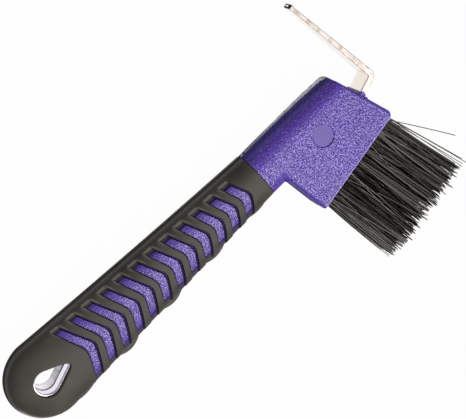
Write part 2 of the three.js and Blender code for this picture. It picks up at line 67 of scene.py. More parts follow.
def build_piece(name, points, quads, tris, material, sharp_angle=35.0, tone=None):
    """A mesh object from points in drawing millimetres and its four- and three-cornered faces. tone is a
    value at each point that its material may read, and 0 at the last points where it is shorter."""
    used = np.unique(np.concatenate([quads.ravel(), tris.ravel()]))
    renumber = np.zeros(len(points), dtype=np.int64)
    renumber[used] = np.arange(len(used))
    corners = renumber[np.concatenate([quads.ravel(), tris.ravel()])]
    sizes = np.concatenate([np.full(len(quads), 4), np.full(len(tris), 3)])
    mesh = bpy.data.meshes.new(name)
    mesh.vertices.add(len(used))
    mesh.vertices.foreach_set("co", ((points[used] + DRAWING_ORIGIN) * MM).astype(np.float32).ravel())
    mesh.loops.add(len(corners))
    mesh.loops.foreach_set("vertex_index", corners.astype(np.int32))
    mesh.polygons.add(len(sizes))
    mesh.polygons.foreach_set("loop_start", (np.cumsum(sizes) - sizes).astype(np.int32))
    mesh.polygons.foreach_set("use_smooth", np.ones(len(sizes), dtype=bool))
    mesh.update(calc_edges=True)
    if tone is not None:
        tone = np.append(tone, np.zeros(len(points) - np.size(tone)))
        shade = mesh.attributes.new("tone", "FLOAT", "POINT")
        shade.data.foreach_set("value", tone[used].astype(np.float32))
    body = bmesh.new()
    body.from_mesh(mesh)
    bmesh.ops.remove_doubles(body, verts=body.verts, dist=WELD)
    bmesh.ops.recalc_face_normals(body, faces=body.faces)
    body.to_mesh(mesh)
    body.free()
    mesh.set_sharp_from_angle(angle=math.radians(sharp_angle))
    mesh.materials.append(material)
    return place(name, mesh)


def grid_quads(index, wrap_rows=False):
    """Faces between neighbouring entries of a table of point numbers whose rows are closed loops."""
    if wrap_rows:
        index = np.concatenate([index, index[:1]])
    nxt = np.roll(index, -1, axis=-1)
    corners = [index[..., :-1, :], nxt[..., :-1, :], nxt[..., 1:, :], index[..., 1:, :]]
    return np.stack(corners, axis=-1).reshape(-1, 4)


def fan(loop, hub, flip=False):
    """Triangles from a closed loop of point numbers to one hub point."""
    nxt = np.roll(loop, -1)
    hubs = np.full(len(loop), hub)
    return np.stack([nxt, loop, hubs] if flip else [loop, nxt, hubs], axis=-1)


def closed_tube(table, hubs, start=0):
    """Points and faces of a table of rings that is closed at each end by a fan on a hub point."""
    index = start + np.arange(table[..., 0].size).reshape(table.shape[:2])
    hub = start + index.size
    tris = np.concatenate([fan(index[0], hub, flip=True), fan(index[-1], hub + 1)])
    return np.concatenate([table.reshape(-1, 3), hubs]), grid_quads(index), tris


def smoothstep(low, high, value):
    """0 below low, 1 above high, and a smooth S between."""
    t = np.clip((value - low) / (high - low), 0.0, 1.0)
    return t * t * (3.0 - 2.0 * t)


def bell(value, middle, width):
    """1 at the middle, falling as a bell curve to 0.37 at width from it."""
    return np.exp(-(((value - middle) / width) ** 2))


def soft_min(a, b, reach):
    """The smaller of two heights, blended where they are within reach of each other."""
    h = np.clip(0.5 + 0.5 * (b - a) / reach, 0.0, 1.0)
    return b * (1.0 - h) + a * h - reach * h * (1.0 - h)


def soft_excess(distance):
    """A distance where it is over zero and nothing where it is under, with a soft bend between."""
    return 0.5 * (distance + np.sqrt(distance**2 + 0.6))


def nearest(values, target):
    return int(np.argmin(np.abs(values - target)))


# ---------------------------------------------------------------- the grip's form

FRONT_X, TAPER_X = -32.0, -30.0  # where the grip starts, and where its tapers count from
BUTT_X, BUTT_REACH = -156.0, 18.7  # centre of the butt's round, and its length
POWER = 2.5  # superellipse exponent of every section
CHEVRONS = 12
APEX_X, PITCH, WIDTH = -39.7, 8.28, 5.6  # the first chevron's front edge, their spacing and their width
APEX_HALF, APEX_SHIFT = 1.2, -0.5  # half the blunt apex, across the grip, and how far it is off centre
FRONT_SLOPES = np.array([0.45, 0.5])  # how a chevron's front edge falls back, to the spine and fingers
SLOPE_FALL = np.array([0.11, 0.08])  # how much less its rear edge does
NO_GROOVE = -1.0
LAST_ROW = 5.74  # where the rows of the last chevron stop
GROOVE_END, PAD_END, PAD_FOOT = 2.2, 3.5, 3.6  # from the spine's edge, and the pad's from the finger edge
RIDGE_X, RIDGE_PITCH, RIDGE_REACH = -41.0, 27.0, 6.5
RIDGE_HEIGHTS = np.array([1.3, 1.65, 1.95, 2.15, 1.1])
SLEEVE_WALL, CORE_INSET, PAD_RISE = 2.0, 2.3, 1.75
GROOVE_DEPTH, TRENCH_DEPTH, RIM_HEIGHT, BEAD_HEIGHT, LEDGE_DEPTH = 0.9, 0.55, 0.16, 0.33, 0.4


def spine_side(x):
    """The grip's back edge: straight at the neck, then rising as a gentle parabola to the butt."""
    back = np.maximum(0.0, TAPER_X - x)
    return 16.8 + 0.0607 * back + 0.000125 * back**2


def finger_side(x):
    """The grip's finger edge between the ridges."""
    back = np.maximum(0.0, TAPER_X - x)
    return -5.1 - 0.034 * back - 0.00002 * back**2


def centre_line(x):
    return 0.5 * (spine_side(x) + finger_side(x))


def half_width(x):
    return 0.5 * (spine_side(x) - finger_side(x))


def crown(x, y, inset=0.0):
    """Height of the grip's surface over its parting plane above a plan point: a superellipse across, and
    past the butt's centre the distance from that centre counts like the distance across."""
    full_x = np.maximum(x, BUTT_X)
    share = np.clip((BUTT_X - x) / (BUTT_REACH - inset), 0.0, 1.0)
    out = share**2 + ((y - centre_line(full_x)) / (half_width(full_x) - inset)) ** 2
    return (HALF_HEIGHT - inset) * np.maximum(0.0, 1.0 - out ** (POWER / 2)) ** (1 / POWER)


def finger_ridge(x):
    """How far the five finger ridges stand out: low arcs with flat valleys between."""
    ridge = np.clip(np.round((RIDGE_X - x) / RIDGE_PITCH), 0, len(RIDGE_HEIGHTS) - 1)
    away = (x - (RIDGE_X - RIDGE_PITCH * ridge)) / RIDGE_REACH
    return RIDGE_HEIGHTS[ridge.astype(int)] * np.maximum(0.0, 1.0 - away**2)


# Columns of the grip's grid, spine to finger side: how each span between two break lines is divided.
SPANS = [
    [0.0, 0.012, 0.022, 0.025, 0.05, 0.09, 0.14, 0.2, 0.28, 0.42, 0.56, 0.69, 0.81, 0.91, 0.97],
    [0.0, 0.06, 0.13, 0.3, 0.6, 0.9],
    [0.0, 0.03, 0.15, 0.3, 0.45, 0.6, 0.75, 0.88],
    [0.0, 0.33, 0.67],
    [0.0, 0.12, 0.25, 0.4, 0.55, 0.7, 0.85, 0.97],
    [0.0, 0.06, 0.25, 0.45, 0.65, 0.8, 0.92],
    [0.0, 0.15, 0.3, 0.42, 0.55, 0.7, 0.85, 0.94],
]
SPAN_OF = np.concatenate([np.full(len(s), k) for k, s in enumerate(SPANS)])
PART_OF = np.concatenate([np.array(s) for s in SPANS])
UPPER = len(SPAN_OF)  # columns of the upper face, the spine's own included
COLUMNS = 2 * UPPER
LEDGE_COLUMNS = 3  # the first columns, which carry the narrow ledge at the parting plane
FIRST_PAD_COLUMN = len(SPANS[0]) + len(SPANS[1])
LAST_PAD_COLUMN = FIRST_PAD_COLUMN + sum(len(s) for s in SPANS[2:5])
# each column of cells by its number on the upper face
MIRRORED = np.minimum(np.arange(COLUMNS), COLUMNS - 1 - np.arange(COLUMNS))


def grip_rows():
    """Rows of the grip's grid: where each crosses the middle, how steeply it falls back on the spine and
    finger sides, and how far it lies behind its chevron's front edge, or NO_GROOVE."""
    rows = []
    for x in np.linspace(FRONT_X, APEX_X, 9)[:-1]:
        t = (FRONT_X - x) / (FRONT_X - APEX_X)
        rows.append((x, *(FRONT_SLOPES * t**1.5), NO_GROOVE))
    behind = [0.0, 0.06, 0.13, 0.22, 0.5, 0.9, 1.0, 1.1, 1.2, 1.35, 2.0, 3.1, 4.2]
    behind += [5.0, 5.15, 5.25, 5.35, 5.42, 5.49, 5.56, 5.64, LAST_ROW, 6.1, 6.9, 7.7, 8.1]
    for i in range(CHEVRONS):
        for b in behind:
            if i < CHEVRONS - 1 or b <= LAST_ROW:
                t = b / WIDTH if b < WIDTH else 1.0 - (b - WIDTH) / (PITCH - WIDTH)
                rows.append((APEX_X - PITCH * i - b, *(FRONT_SLOPES - SLOPE_FALL * t), b))
    last = APEX_X - PITCH * (CHEVRONS - 1) - LAST_ROW
    for x in np.linspace(last, BUTT_X, 25)[1:]:
        t = np.clip((last - x) / 14.0, 0.0, 1.0)
        rows.append((x, *((FRONT_SLOPES - SLOPE_FALL) * (1 - t)), NO_GROOVE))
    for angle in np.linspace(0.0, 0.5 * math.pi, 30)[1:-1]:
        rows.append((BUTT_X - BUTT_REACH * math.sin(angle), 0.0, 0.0, NO_GROOVE))
    return np.array(rows)


def grip_grid():
    """The plan of the grip's upper half on the grid of sheared rows and break-line columns. A point's X
    depends on its Y through the chevron's slopes and its Y on its X through the taper, so the two are
    settled in a few rounds."""
    rows = grip_rows()
    apex = rows[:, :1]
    x = np.repeat(apex, UPPER + 1, axis=1)
    span = np.append(SPAN_OF, len(SPANS) - 1)
    part = np.append(PART_OF, 1.0)
    column = np.arange(UPPER + 1)
    middle = centre_line(apex) + APEX_SHIFT
    for _ in range(6):
        full_x = np.maximum(x, BUTT_X)
        centre, half = centre_line(full_x), half_width(full_x)
        back, front = spine_side(full_x), finger_side(full_x)
        breaks = [back, back - GROOVE_END, back - PAD_END, middle + APEX_HALF + 0 * x]
        breaks += [middle - APEX_HALF + 0 * x, front + PAD_FOOT, centre - 0.988 * half, front]
        across = np.clip((np.array(breaks) - centre) / half, -1.0, 1.0)
        turn = np.arccos(np.sign(across) * np.abs(across) ** (POWER / 2))
        low, high = turn[span, :, column].T, turn[span + 1, :, column].T
        cosine = np.cos(low + (high - low) * part)
        share = np.clip((BUTT_X - x) / BUTT_REACH, 0.0, 1.0)
        y = centre + half * np.sqrt(1 - share**2) * np.sign(cosine) * np.abs(cosine) ** (2 / POWER)
        x = apex - rows[:, 1:2] * soft_excess(y - middle - APEX_HALF)
        x = x - rows[:, 2:3] * soft_excess(middle - APEX_HALF - y)
        x = np.where(apex < BUTT_X - 1e-6, apex, x)
    return rows, x, y


ROWS, PLAN_X, PLAN_Y = grip_grid()
BEHIND = ROWS[:, 3:4]
FULL_X = np.maximum(PLAN_X, BUTT_X)
FROM_SPINE = spine_side(FULL_X) - PLAN_Y
RISE = crown(PLAN_X, PLAN_Y)  # over the parting plane


def whole_round(upper, lower):
    """Joins the upper half's columns to the lower half's, which run back from finger side to spine."""
    return np.concatenate([upper[:, :-1], lower[:, :0:-1]], axis=1)


def round_values(of_upper):
    """A table of values on the upper half, mirrored on to the whole round."""
    return whole_round(of_upper, of_upper)


def grip_surface():
    """The smooth grip as a closed-round grid, and its outward normals by finite differences."""
    height = RISE.copy()
    height[:, [0, -1]] = 0.0
    upper = np.stack([PLAN_X, PLAN_Y, HALF_HEIGHT + height], axis=-1)
    points = whole_round(upper, upper * [1, 1, -1] + [0, 0, 2 * HALF_HEIGHT])
    ring = np.roll(points, -1, axis=1) - np.roll(points, 1, axis=1)
    normal = np.cross(ring, np.gradient(points, axis=0))
    normal /= np.linalg.norm(normal, axis=-1, keepdims=True)
    outward = points - np.array([0, 0, HALF_HEIGHT])
    outward[..., 1] -= centre_line(np.maximum(points[..., 0], BUTT_X))
    outward[..., 0] = 0.0
    return points, normal if np.sum(normal * outward) > 0 else -normal


GRIP, GRIP_NORMAL = grip_surface()


def groove_share():
    """1 on a chevron groove's floor and 0 outside: a smooth step from each edge, front and rear along the
    rows, spine end and finger end along the columns."""
    along = smoothstep(-0.02, 0.2, BEHIND) * (1 - smoothstep(5.38, 5.66, BEHIND))
    spine_end = smoothstep(-0.05, 0.4, FROM_SPINE - GROOVE_END)
    finger_end = np.where(PLAN_Y < centre_line(FULL_X), smoothstep(2.0, 3.2, RISE), 1.0)
    return round_values(along * spine_end * finger_end)


def trench_share():
    """1 in the deeper channel between a groove's front wall and its pad, 0 elsewhere."""
    along = smoothstep(-0.02, 0.1, BEHIND) * (1 - smoothstep(0.8, 1.0, BEHIND))
    return round_values(along + 0 * PLAN_Y)


def groove_end_rim():
    """1 on the fine raised line just outside each groove's spine end and along the ends of its sides."""
    along = smoothstep(-0.05, 0.3, BEHIND) * (1 - smoothstep(5.4, 5.8, BEHIND))
    beyond = GROOVE_END - FROM_SPINE
    sides = bell(BEHIND, 5.85, 0.2) + bell(BEHIND, 8.1, 0.25)
    sides = sides * smoothstep(-4.5, -0.5, beyond) * (1 - smoothstep(0.1, 0.5, beyond))
    return round_values(np.maximum(along * bell(beyond, 0.3, 0.28), sides))


def parting_bead():
    """The fine raised line that the mould's joint leaves at the parting plane, mm."""
    return round_values(BEAD_HEIGHT * bell(RISE, 0.0, 0.45))


def behind_ledge():
    """How far the spine's side is drawn in behind the narrow ledge at the parting plane, mm: all of it
    just over the ledge, and less and less up to the shoulder."""
    drawn = LEDGE_DEPTH * (1 - smoothstep(0.0, 6.5, RISE))
    drawn[:, :LEDGE_COLUMNS] = [0.0, 0.0, 0.05]
    return round_values(drawn * np.clip((PLAN_Y - centre_line(FULL_X)) / 6.0, 0.0, 1.0))


def pad_share(fade):
    """1 on a pad's top and 0 beyond its edges, with a rounded shoulder fade mm wide."""
    along = smoothstep(1.04, 1.04 + fade, BEHIND) * (1 - smoothstep(5.34 - fade, 5.34, BEHIND))
    across = smoothstep(0.05, 0.05 + fade, FROM_SPINE - PAD_END)
    across = across * smoothstep(0.05, 0.05 + fade, PLAN_Y - finger_side(FULL_X) - PAD_FOOT)
    return round_values(along * across)


# ---------------------------------------------------------------- hanging hole

HOLE = np.array([-157.3, 8.6])  # centre of the teardrop's round end
HOLE_TURN = math.radians(-3.0)
HOLE_AXIS = np.array([math.cos(HOLE_TURN), math.sin(HOLE_TURN)])
HOLE_SIDE = np.array([-HOLE_AXIS[1], HOLE_AXIS[0]])
HOLE_REACH, ROUND_RADIUS, TIP_RADIUS = 10.2, 5.5, 1.5  # round end to tip, and their radii
HOLE_MIDDLE = 3.6  # from the round end's centre towards the tip
# the block of the grid's cells that the hole's own rings replace, measured at the butt's centre
WINDOW_X, WINDOW_Y = (-143.2, -166.0), (16.8, 0.4)


def teardrop(grow, angles):
    """Plan points of the teardrop, one for each direction from a point between its two arcs: where the
    ray from there leaves the union of the round end, the tip's circle and the flanks that touch both."""
    start = np.array([HOLE_MIDDLE, 0.0])
    ray = np.stack([np.cos(angles - HOLE_TURN), np.sin(angles - HOLE_TURN)], axis=-1)
    t = np.linspace(0, 1, 400)
    radii = ROUND_RADIUS + grow + (TIP_RADIUS - ROUND_RADIUS) * t
    to = np.stack([HOLE_REACH * t, 0 * t], axis=-1)[None] - start
    along = np.sum(to * ray[:, None], axis=-1)
    gap = radii**2 - (np.sum(to**2, axis=-1) - along**2)
    far = np.where(gap > 0, along + np.sqrt(np.maximum(gap, 0)), -1.0).max(axis=1)
    local = start + ray * far[:, None]
    return HOLE + local[:, :1] * HOLE_AXIS + local[:, 1:] * HOLE_SIDE


def rim_for(loop, grow):
    """The teardrop's points that lie in the directions of a loop of surface points."""
    from_middle = loop[:, :2] - HOLE - HOLE_MIDDLE * HOLE_AXIS
    return teardrop(grow, np.arctan2(from_middle[:, 1], from_middle[:, 0]))


def hole_block():
    """The window's cells on both faces as a mask, and the rows and columns round its edge in order."""
    first, last = (nearest(ROWS[:, 0], x) for x in WINDOW_X)
    near, far = (nearest(PLAN_Y[nearest(ROWS[:, 0], BUTT_X)], y) for y in WINDOW_Y)
    row = np.arange(len(ROWS) - 1)[:, None]
    mask = (row >= first) & (row < last) & (MIRRORED >= near) & (MIRRORED < far)
    deep, wide = last - first, far - near
    rows = [np.arange(first, last), np.full(wide, last), np.arange(last, first, -1), np.full(wide, first)]
    columns = [np.full(deep, near), np.arange(near, far), np.full(deep, far), np.arange(far, near, -1)]
    return mask, np.concatenate(rows), np.concatenate(columns)


def open_shell(outer, inner, removed, patched):
    """A wall of rubber: outer grid, inner grid facing in, and side walls along every edge between a kept
    cell and a removed one. Patched cells are left for the hole's own rings."""
    rows, columns = outer.shape[:2]
    count = rows * columns
    index = np.arange(count).reshape(rows, columns)
    keep = ~removed
    shown = grid_quads(index).reshape(rows - 1, columns, 4)[keep & ~patched]
    faces = [shown, shown[:, ::-1] + count]
    nxt = np.roll(index, -1, axis=1)
    below = np.concatenate([keep, np.ones((1, columns), bool)])
    above = np.concatenate([np.zeros((1, columns), bool), keep])
    left = np.roll(keep, 1, axis=1)
    for a, b, edge in (
        (nxt, index, below & ~above),
        (index, nxt, above & ~below),
        (index[:-1], index[1:], keep & ~left),
        (index[1:], index[:-1], left & ~keep),
    ):
        faces.append(np.stack([a[edge], b[edge], b[edge] + count, a[edge] + count], axis=-1))
    return np.concatenate([outer.reshape(-1, 3), inner.reshape(-1, 3)]), np.concatenate(faces), index


def toward_rim(loop, rim, side, inset, lip):
    """Rings from a loop of surface points to the hole's rim. Each keeps to the grip's crown, and the last
    few roll over a quarter round of radius lip into the hole."""
    flat = loop[:, :2] - rim
    distance = np.linalg.norm(flat, axis=1, keepdims=True)
    outward = flat / distance
    rise = loop[:, 2] - HALF_HEIGHT - side * (crown(loop[:, 0], loop[:, 1]) - inset)
    rings = []
    for share in (0.18, 0.36, 0.54, 0.7, 0.84, 0.94):
        plan = rim + outward * (lip + (distance - lip) * (1 - share))
        z = HALF_HEIGHT + side * (crown(plan[:, 0], plan[:, 1]) - inset) + rise * (1 - share)
        rings.append(np.column_stack([plan, z]))
    for turn in np.linspace(0, math.pi / 2, 6):
        plan = rim + outward * lip * (1 - math.sin(turn))
        z = HALF_HEIGHT + side * (crown(plan[:, 0], plan[:, 1]) - inset - lip * (1 - math.cos(turn)))
        rings.append(np.column_stack([plan, z]))
    return rings


def join_loops(points, first_loop, rings, last_loop):
    """The points with new rings added, and the faces from one loop of points over them to another."""
    count = len(first_loop)
    numbers = len(points) + np.arange(len(rings) * count).reshape(len(rings), count)
    table = np.concatenate([first_loop[None], numbers, last_loop[None]])
    return np.concatenate([points, *rings]), grid_quads(table)


def butt_poles(points, index, layers):
    """A pole at the butt's end for each layer of the grip, and the fans that close the last row on it."""
    poles, tris = [], []
    for layer in range(layers):
        last = index[-1] + layer * index.size
        ring = points[last]
        poles.append([ring[:, 0].min() - 0.02, ring[:, 1].mean(), HALF_HEIGHT])
        tris.append(fan(last, len(points) + layer, flip=layer == 1))
    return np.concatenate([points, poles]), np.concatenate(tris)


def rubber_sleeve(material):
    """The grip's grid pushed in by the groove depth where a chevron runs, with finger ridges pulled out at
    the parting plane and a window cut through the wall over each pad."""
    rise, groove = round_values(RISE), groove_share()
    full_x = np.maximum(GRIP[..., 0], BUTT_X)
    across = (GRIP[..., 1] - centre_line(full_x)) / half_width(full_x)
    ridge = finger_ridge(GRIP[..., 0]) * np.clip(-across, 0, 1) * np.exp(-((rise / 1.5) ** 4))
    sunk = groove * (GROOVE_DEPTH + TRENCH_DEPTH * trench_share())
    sunk -= parting_bead() + RIM_HEIGHT * groove_end_rim()
    outer = GRIP - GRIP_NORMAL * (sunk + behind_ledge())[..., None]
    outer[..., 1] -= ridge
    inner = GRIP - GRIP_NORMAL * SLEEVE_WALL
    # tone: up to 1 in the channels round the pads, where shade is painted, and below 0 where highlights are
    # painted: on the fine raised lines, along the shoulder beside the joint and as a glint at the butt's
    # lower corner
    beside_pad = smoothstep(2.9, 3.6, round_values(FROM_SPINE))
    corner = smoothstep(-160.0, -170.0, GRIP[..., 0]) * smoothstep(9.0, 4.0, GRIP[..., 1])
    tone = groove * (0.3 + 0.65 * beside_pad) - 0.5 * groove_end_rim() - 0.25 * bell(rise, 2.6, 1.2)
    tone -= 2.0 * corner * bell(rise, 3.0, 1.1)
    in_pad = (BEHIND[:-1] > 0.95) & (BEHIND[:-1] < 5.3)
    removed = in_pad & (MIRRORED >= FIRST_PAD_COLUMN) & (MIRRORED < LAST_PAD_COLUMN)
    patched, rows, columns = hole_block()
    points, faces, index = open_shell(outer, inner, removed, patched)
    quads = [faces]
    points, tris = butt_poles(points, index, 2)
    for side, grow, cells in ((1, 0.45, columns), (-1, 0.9, COLUMNS - columns)):
        at = index[rows, cells]
        below = at + index.size
        rim = rim_for(points[at], grow)
        rings = toward_rim(points[at], rim, side, 0.0, 0.7)
        rings += toward_rim(points[below], rim, side, SLEEVE_WALL, 0.05)[::-1]
        points, joined = join_loops(points, at, rings, below)
        quads.append(joined)
    return build_piece("grip_sleeve_rubber", points, np.concatenate(quads), tris, material, tone=tone)


def handle_core(material):
    """The moulding inside the rubber: the grip's grid drawn in, raised to pads in the windows, with a
    tunnel through the butt for the eyelet and a front end that runs on into the neck."""
    inset = CORE_INSET - PAD_RISE * pad_share(0.22)
    # tone: -1 where a pad's spine end sinks into the sleeve's shade, which is painted there, 0 from 2 mm on
    tone = smoothstep(3.3, 5.6, round_values(FROM_SPINE)) - 1.0
    points = (GRIP - GRIP_NORMAL * inset[..., None]).reshape(-1, 3)
    index = np.arange(len(points)).reshape(len(ROWS), COLUMNS)
    window, rows, columns = hole_block()
    quads = [grid_quads(index).reshape(len(ROWS) - 1, COLUMNS, 4)[~window]]
    points, tris = butt_poles(points, index, 1)
    top, bottom = index[rows, columns], index[rows, COLUMNS - columns]
    rim = rim_for(points[top], 1.4)
    rings = toward_rim(points[top], rim, 1, CORE_INSET, 0.1)
    rings += toward_rim(points[bottom], rim, -1, CORE_INSET, 0.1)[::-1]
    points, joined = join_loops(points, top, rings, bottom)
    into_neck = points[index[0]] + np.array([6.0, 0, 0])
    loop = len(points) + np.arange(COLUMNS)
    quads += [joined, grid_quads(np.stack([loop, index[0]]))]
    points = np.concatenate([points, into_neck, [into_neck.mean(axis=0)]])
    tris = np.concatenate([tris, fan(loop, loop[-1] + 1, flip=True)])
    return build_piece("handle_core_moulding", points, np.concatenate(quads), tris, material, tone=tone)


EYELET_FOOT, EYELET_STEP, EYELET_TOP, EYELET_WALL = 1.4, 9.8, 15.9, 1.1


def eyelet_lining(material):
    """A teardrop tube in two steps: a rounded wall profile carried round the teardrop, wider above the
    step than below it. Each ring is given by how far it stands out from the teardrop, and its height."""
    angles = np.linspace(0, 2 * math.pi, 120, endpoint=False)
    low, step, high, wall = EYELET_FOOT, EYELET_STEP, EYELET_TOP, EYELET_WALL
    profile = [(-0.15, low + 0.3), (-0.26, step - 0.6), (-0.22, step - 0.3), (-0.08, step + 0.1)]
    profile += [(-0.04, step + 0.5), (-0.04, step + 0.9), (-0.04, high - 0.6), (-0.04, high - 0.26)]
    profile += [(0.03, high - 0.08), (0.2, high), (wall - 0.3, high), (wall - 0.09, high - 0.09)]
    profile += [(wall, high - 0.3), (wall, low + 0.3), (wall - 0.09, low + 0.09), (wall - 0.3, low)]
    profile += [(0.15, low), (-0.06, low + 0.09)]
    rings = [np.column_stack([teardrop(grow, angles), np.full(len(angles), z)]) for grow, z in profile]
    index = np.arange(len(rings) * len(angles)).reshape(len(rings), len(angles))
    quads = grid_quads(index, wrap_rows=True)
    return build_piece("hanging_eyelet_lining", np.concatenate(rings), quads, NO_TRIS, material)


# ---------------------------------------------------------------- head and neck

TILT = math.radians(10.75)  # brush face against X
ALONG = np.array([math.cos(TILT), math.sin(TILT)])
OUTWARD = np.array([math.sin(TILT), -math.cos(TILT)])
BRUSH_CORNER = np.array([-20.5, -25.7])
BRUSH_END = BRUSH_CORNER + 51.5 * ALONG
END_ANGLE = math.radians(19.0)
END_FOOT = np.array([23.6, 1.5])
SHANK = np.array([math.cos(END_ANGLE), math.sin(END_ANGLE)])  # out of the end face
SHANK_LEFT = np.array([-SHANK[1], SHANK[0]])
SPINE_Y, SPINE_FALL, FINGER_Y = 16.5, 1.0, -5.1
NECK_X = -31.7
NOTCH_TILT, NOTCH_ROUND = math.radians(9.4), 2.0
BULGE, BULGE_LENGTH = 0.5, 48.0  # of the spine, from the neck on
RECESS_RADIUS, RECESS_FLOOR = 5.5, 0.45  # outside the rounded rim, and how deep the middle lies


def spine_bulge(x):
    return BULGE * np.sin(math.pi * np.clip((np.asarray(x) - NECK_X) / BULGE_LENGTH, 0, 1))


def spine_line(x):
    """The spine side's plan line over the parting ledge: it falls back a little towards the end, and
    bulges by half a millimetre between."""
    return SPINE_Y - SPINE_FALL * (np.asarray(x) - NECK_X) / 50.0 + spine_bulge(x)


def notch_x(y):
    return BRUSH_CORNER[0] - math.tan(NOTCH_TILT) * (y - BRUSH_CORNER[1])


def head_outline():
    """Plan points round the head and neck, their inward normals, and the radius of the edge rounding at
    each, which runs smoothly from side to side."""
    end_x = END_FOOT[0] + 0.5 - math.tan(END_ANGLE) * (SPINE_Y - SPINE_FALL - END_FOOT[1])
    corners = [(NECK_X, SPINE_Y), (NECK_X, FINGER_Y), (notch_x(FINGER_Y), FINGER_Y)]
    corners = np.array([*corners, BRUSH_CORNER, BRUSH_END, (end_x, spine_line(end_x))])
    radius = np.array([0.02, 0.02, 1.3, 1.0, 2.6, 4.2])  # of the corner
    edge = np.array([0.05, 0.6, 2.0, 0.7, 1.6, 1.2])  # rounding of the side that follows the corner
    ahead = np.roll(corners, -1, axis=0) - corners
    ahead /= np.linalg.norm(ahead, axis=1, keepdims=True)
    behind = -np.roll(ahead, 1, axis=0)
    half_turn = np.arccos(np.clip(np.sum(ahead * behind, axis=1), -1, 1)) / 2
    reach = (radius / np.tan(half_turn))[:, None]
    starts, ends = corners + behind * reach, corners + ahead * reach
    points, normals, radii = [], [], []
    for i in range(len(corners)):
        middle = (ahead[i] + behind[i]) / np.linalg.norm(ahead[i] + behind[i])
        centre = corners[i] + middle * radius[i] / math.sin(half_turn[i])
        a0 = math.atan2(*(starts[i] - centre)[::-1])
        a1 = math.atan2(*(ends[i] - centre)[::-1])
        swing = (a1 - a0 + 3 * math.pi) % (2 * math.pi) - math.pi
        share = np.linspace(0, 1, 9 if radius[i] > 0.1 else 2)
        direction = np.stack([np.cos(a0 + swing * share), np.sin(a0 + swing * share)], axis=-1)
        convex = behind[i][1] * ahead[i][0] - behind[i][0] * ahead[i][1] > 0
        points.append(centre + radius[i] * direction)
        normals.append(-direction if convex else direction)
        radii.append(edge[i - 1] + (edge[i] - edge[i - 1]) * share)
        side = starts[(i + 1) % len(corners)] - ends[i]
        steps = max(2, int(np.linalg.norm(side) / 0.7))
        points.append(ends[i] + side * np.linspace(0, 1, steps + 1)[1:-1, None])
        normals.append(np.tile([-ahead[i][1], ahead[i][0]], (steps - 1, 1)))
        radii.append(np.full(steps - 1, edge[i]))
    points, normals = np.concatenate(points), np.concatenate(normals)
    points[:, 1] += np.where(normals[:, 1] < -0.9, spine_bulge(points[:, 0]), 0.0)
    return points, normals, np.concatenate(radii)


def edge_round(distance, radius):
    """Height of a flat face near an edge rounded by radius, at a distance in from the edge."""
    t = np.clip(distance, 0, radius)
    return HALF_HEIGHT - radius + np.sqrt(np.maximum(0.0, radius**2 - (radius - t) ** 2))


def head_height(plan, rounded):
    """Height over the parting plane: the neck is a superellipse across. The head is flat, with the same
    superellipse on its spine side and rounded edges elsewhere, and stands over the neck along a crease
    that runs up from the notch."""
    x, y = plan.T
    half = 0.5 * (spine_line(x) - FINGER_Y)
    off = (y - FINGER_Y) / half - 1.0
    oval = HALF_HEIGHT * np.maximum(0.0, 1 - np.abs(off) ** POWER) ** (1 / POWER)
    spine = np.where(off > 0, oval, HALF_HEIGHT)
    inside = (x - notch_x(y)) * math.cos(NOTCH_TILT)
    below = HALF_HEIGHT - NOTCH_ROUND + 5.0 * inside
    notch = np.where(inside > 0, edge_round(inside, NOTCH_ROUND), below)
    slab = np.minimum(spine, np.minimum(rounded, notch))
    neck = oval * (1 - smoothstep(-20.0, -15.0, x))
    return -soft_min(-neck, -slab, 0.3)


def inset_plan(plan, normal, inset):
    """The outline moved in by inset along its normals, with the neck's square end kept square."""
    moved = plan + normal * inset
    x = np.maximum(moved[:, 0], NECK_X + inset)
    y = np.where(x < -27.0, np.clip(moved[:, 1], FINGER_Y + inset, spine_line(x) - inset), moved[:, 1])
    return np.column_stack([x, y])


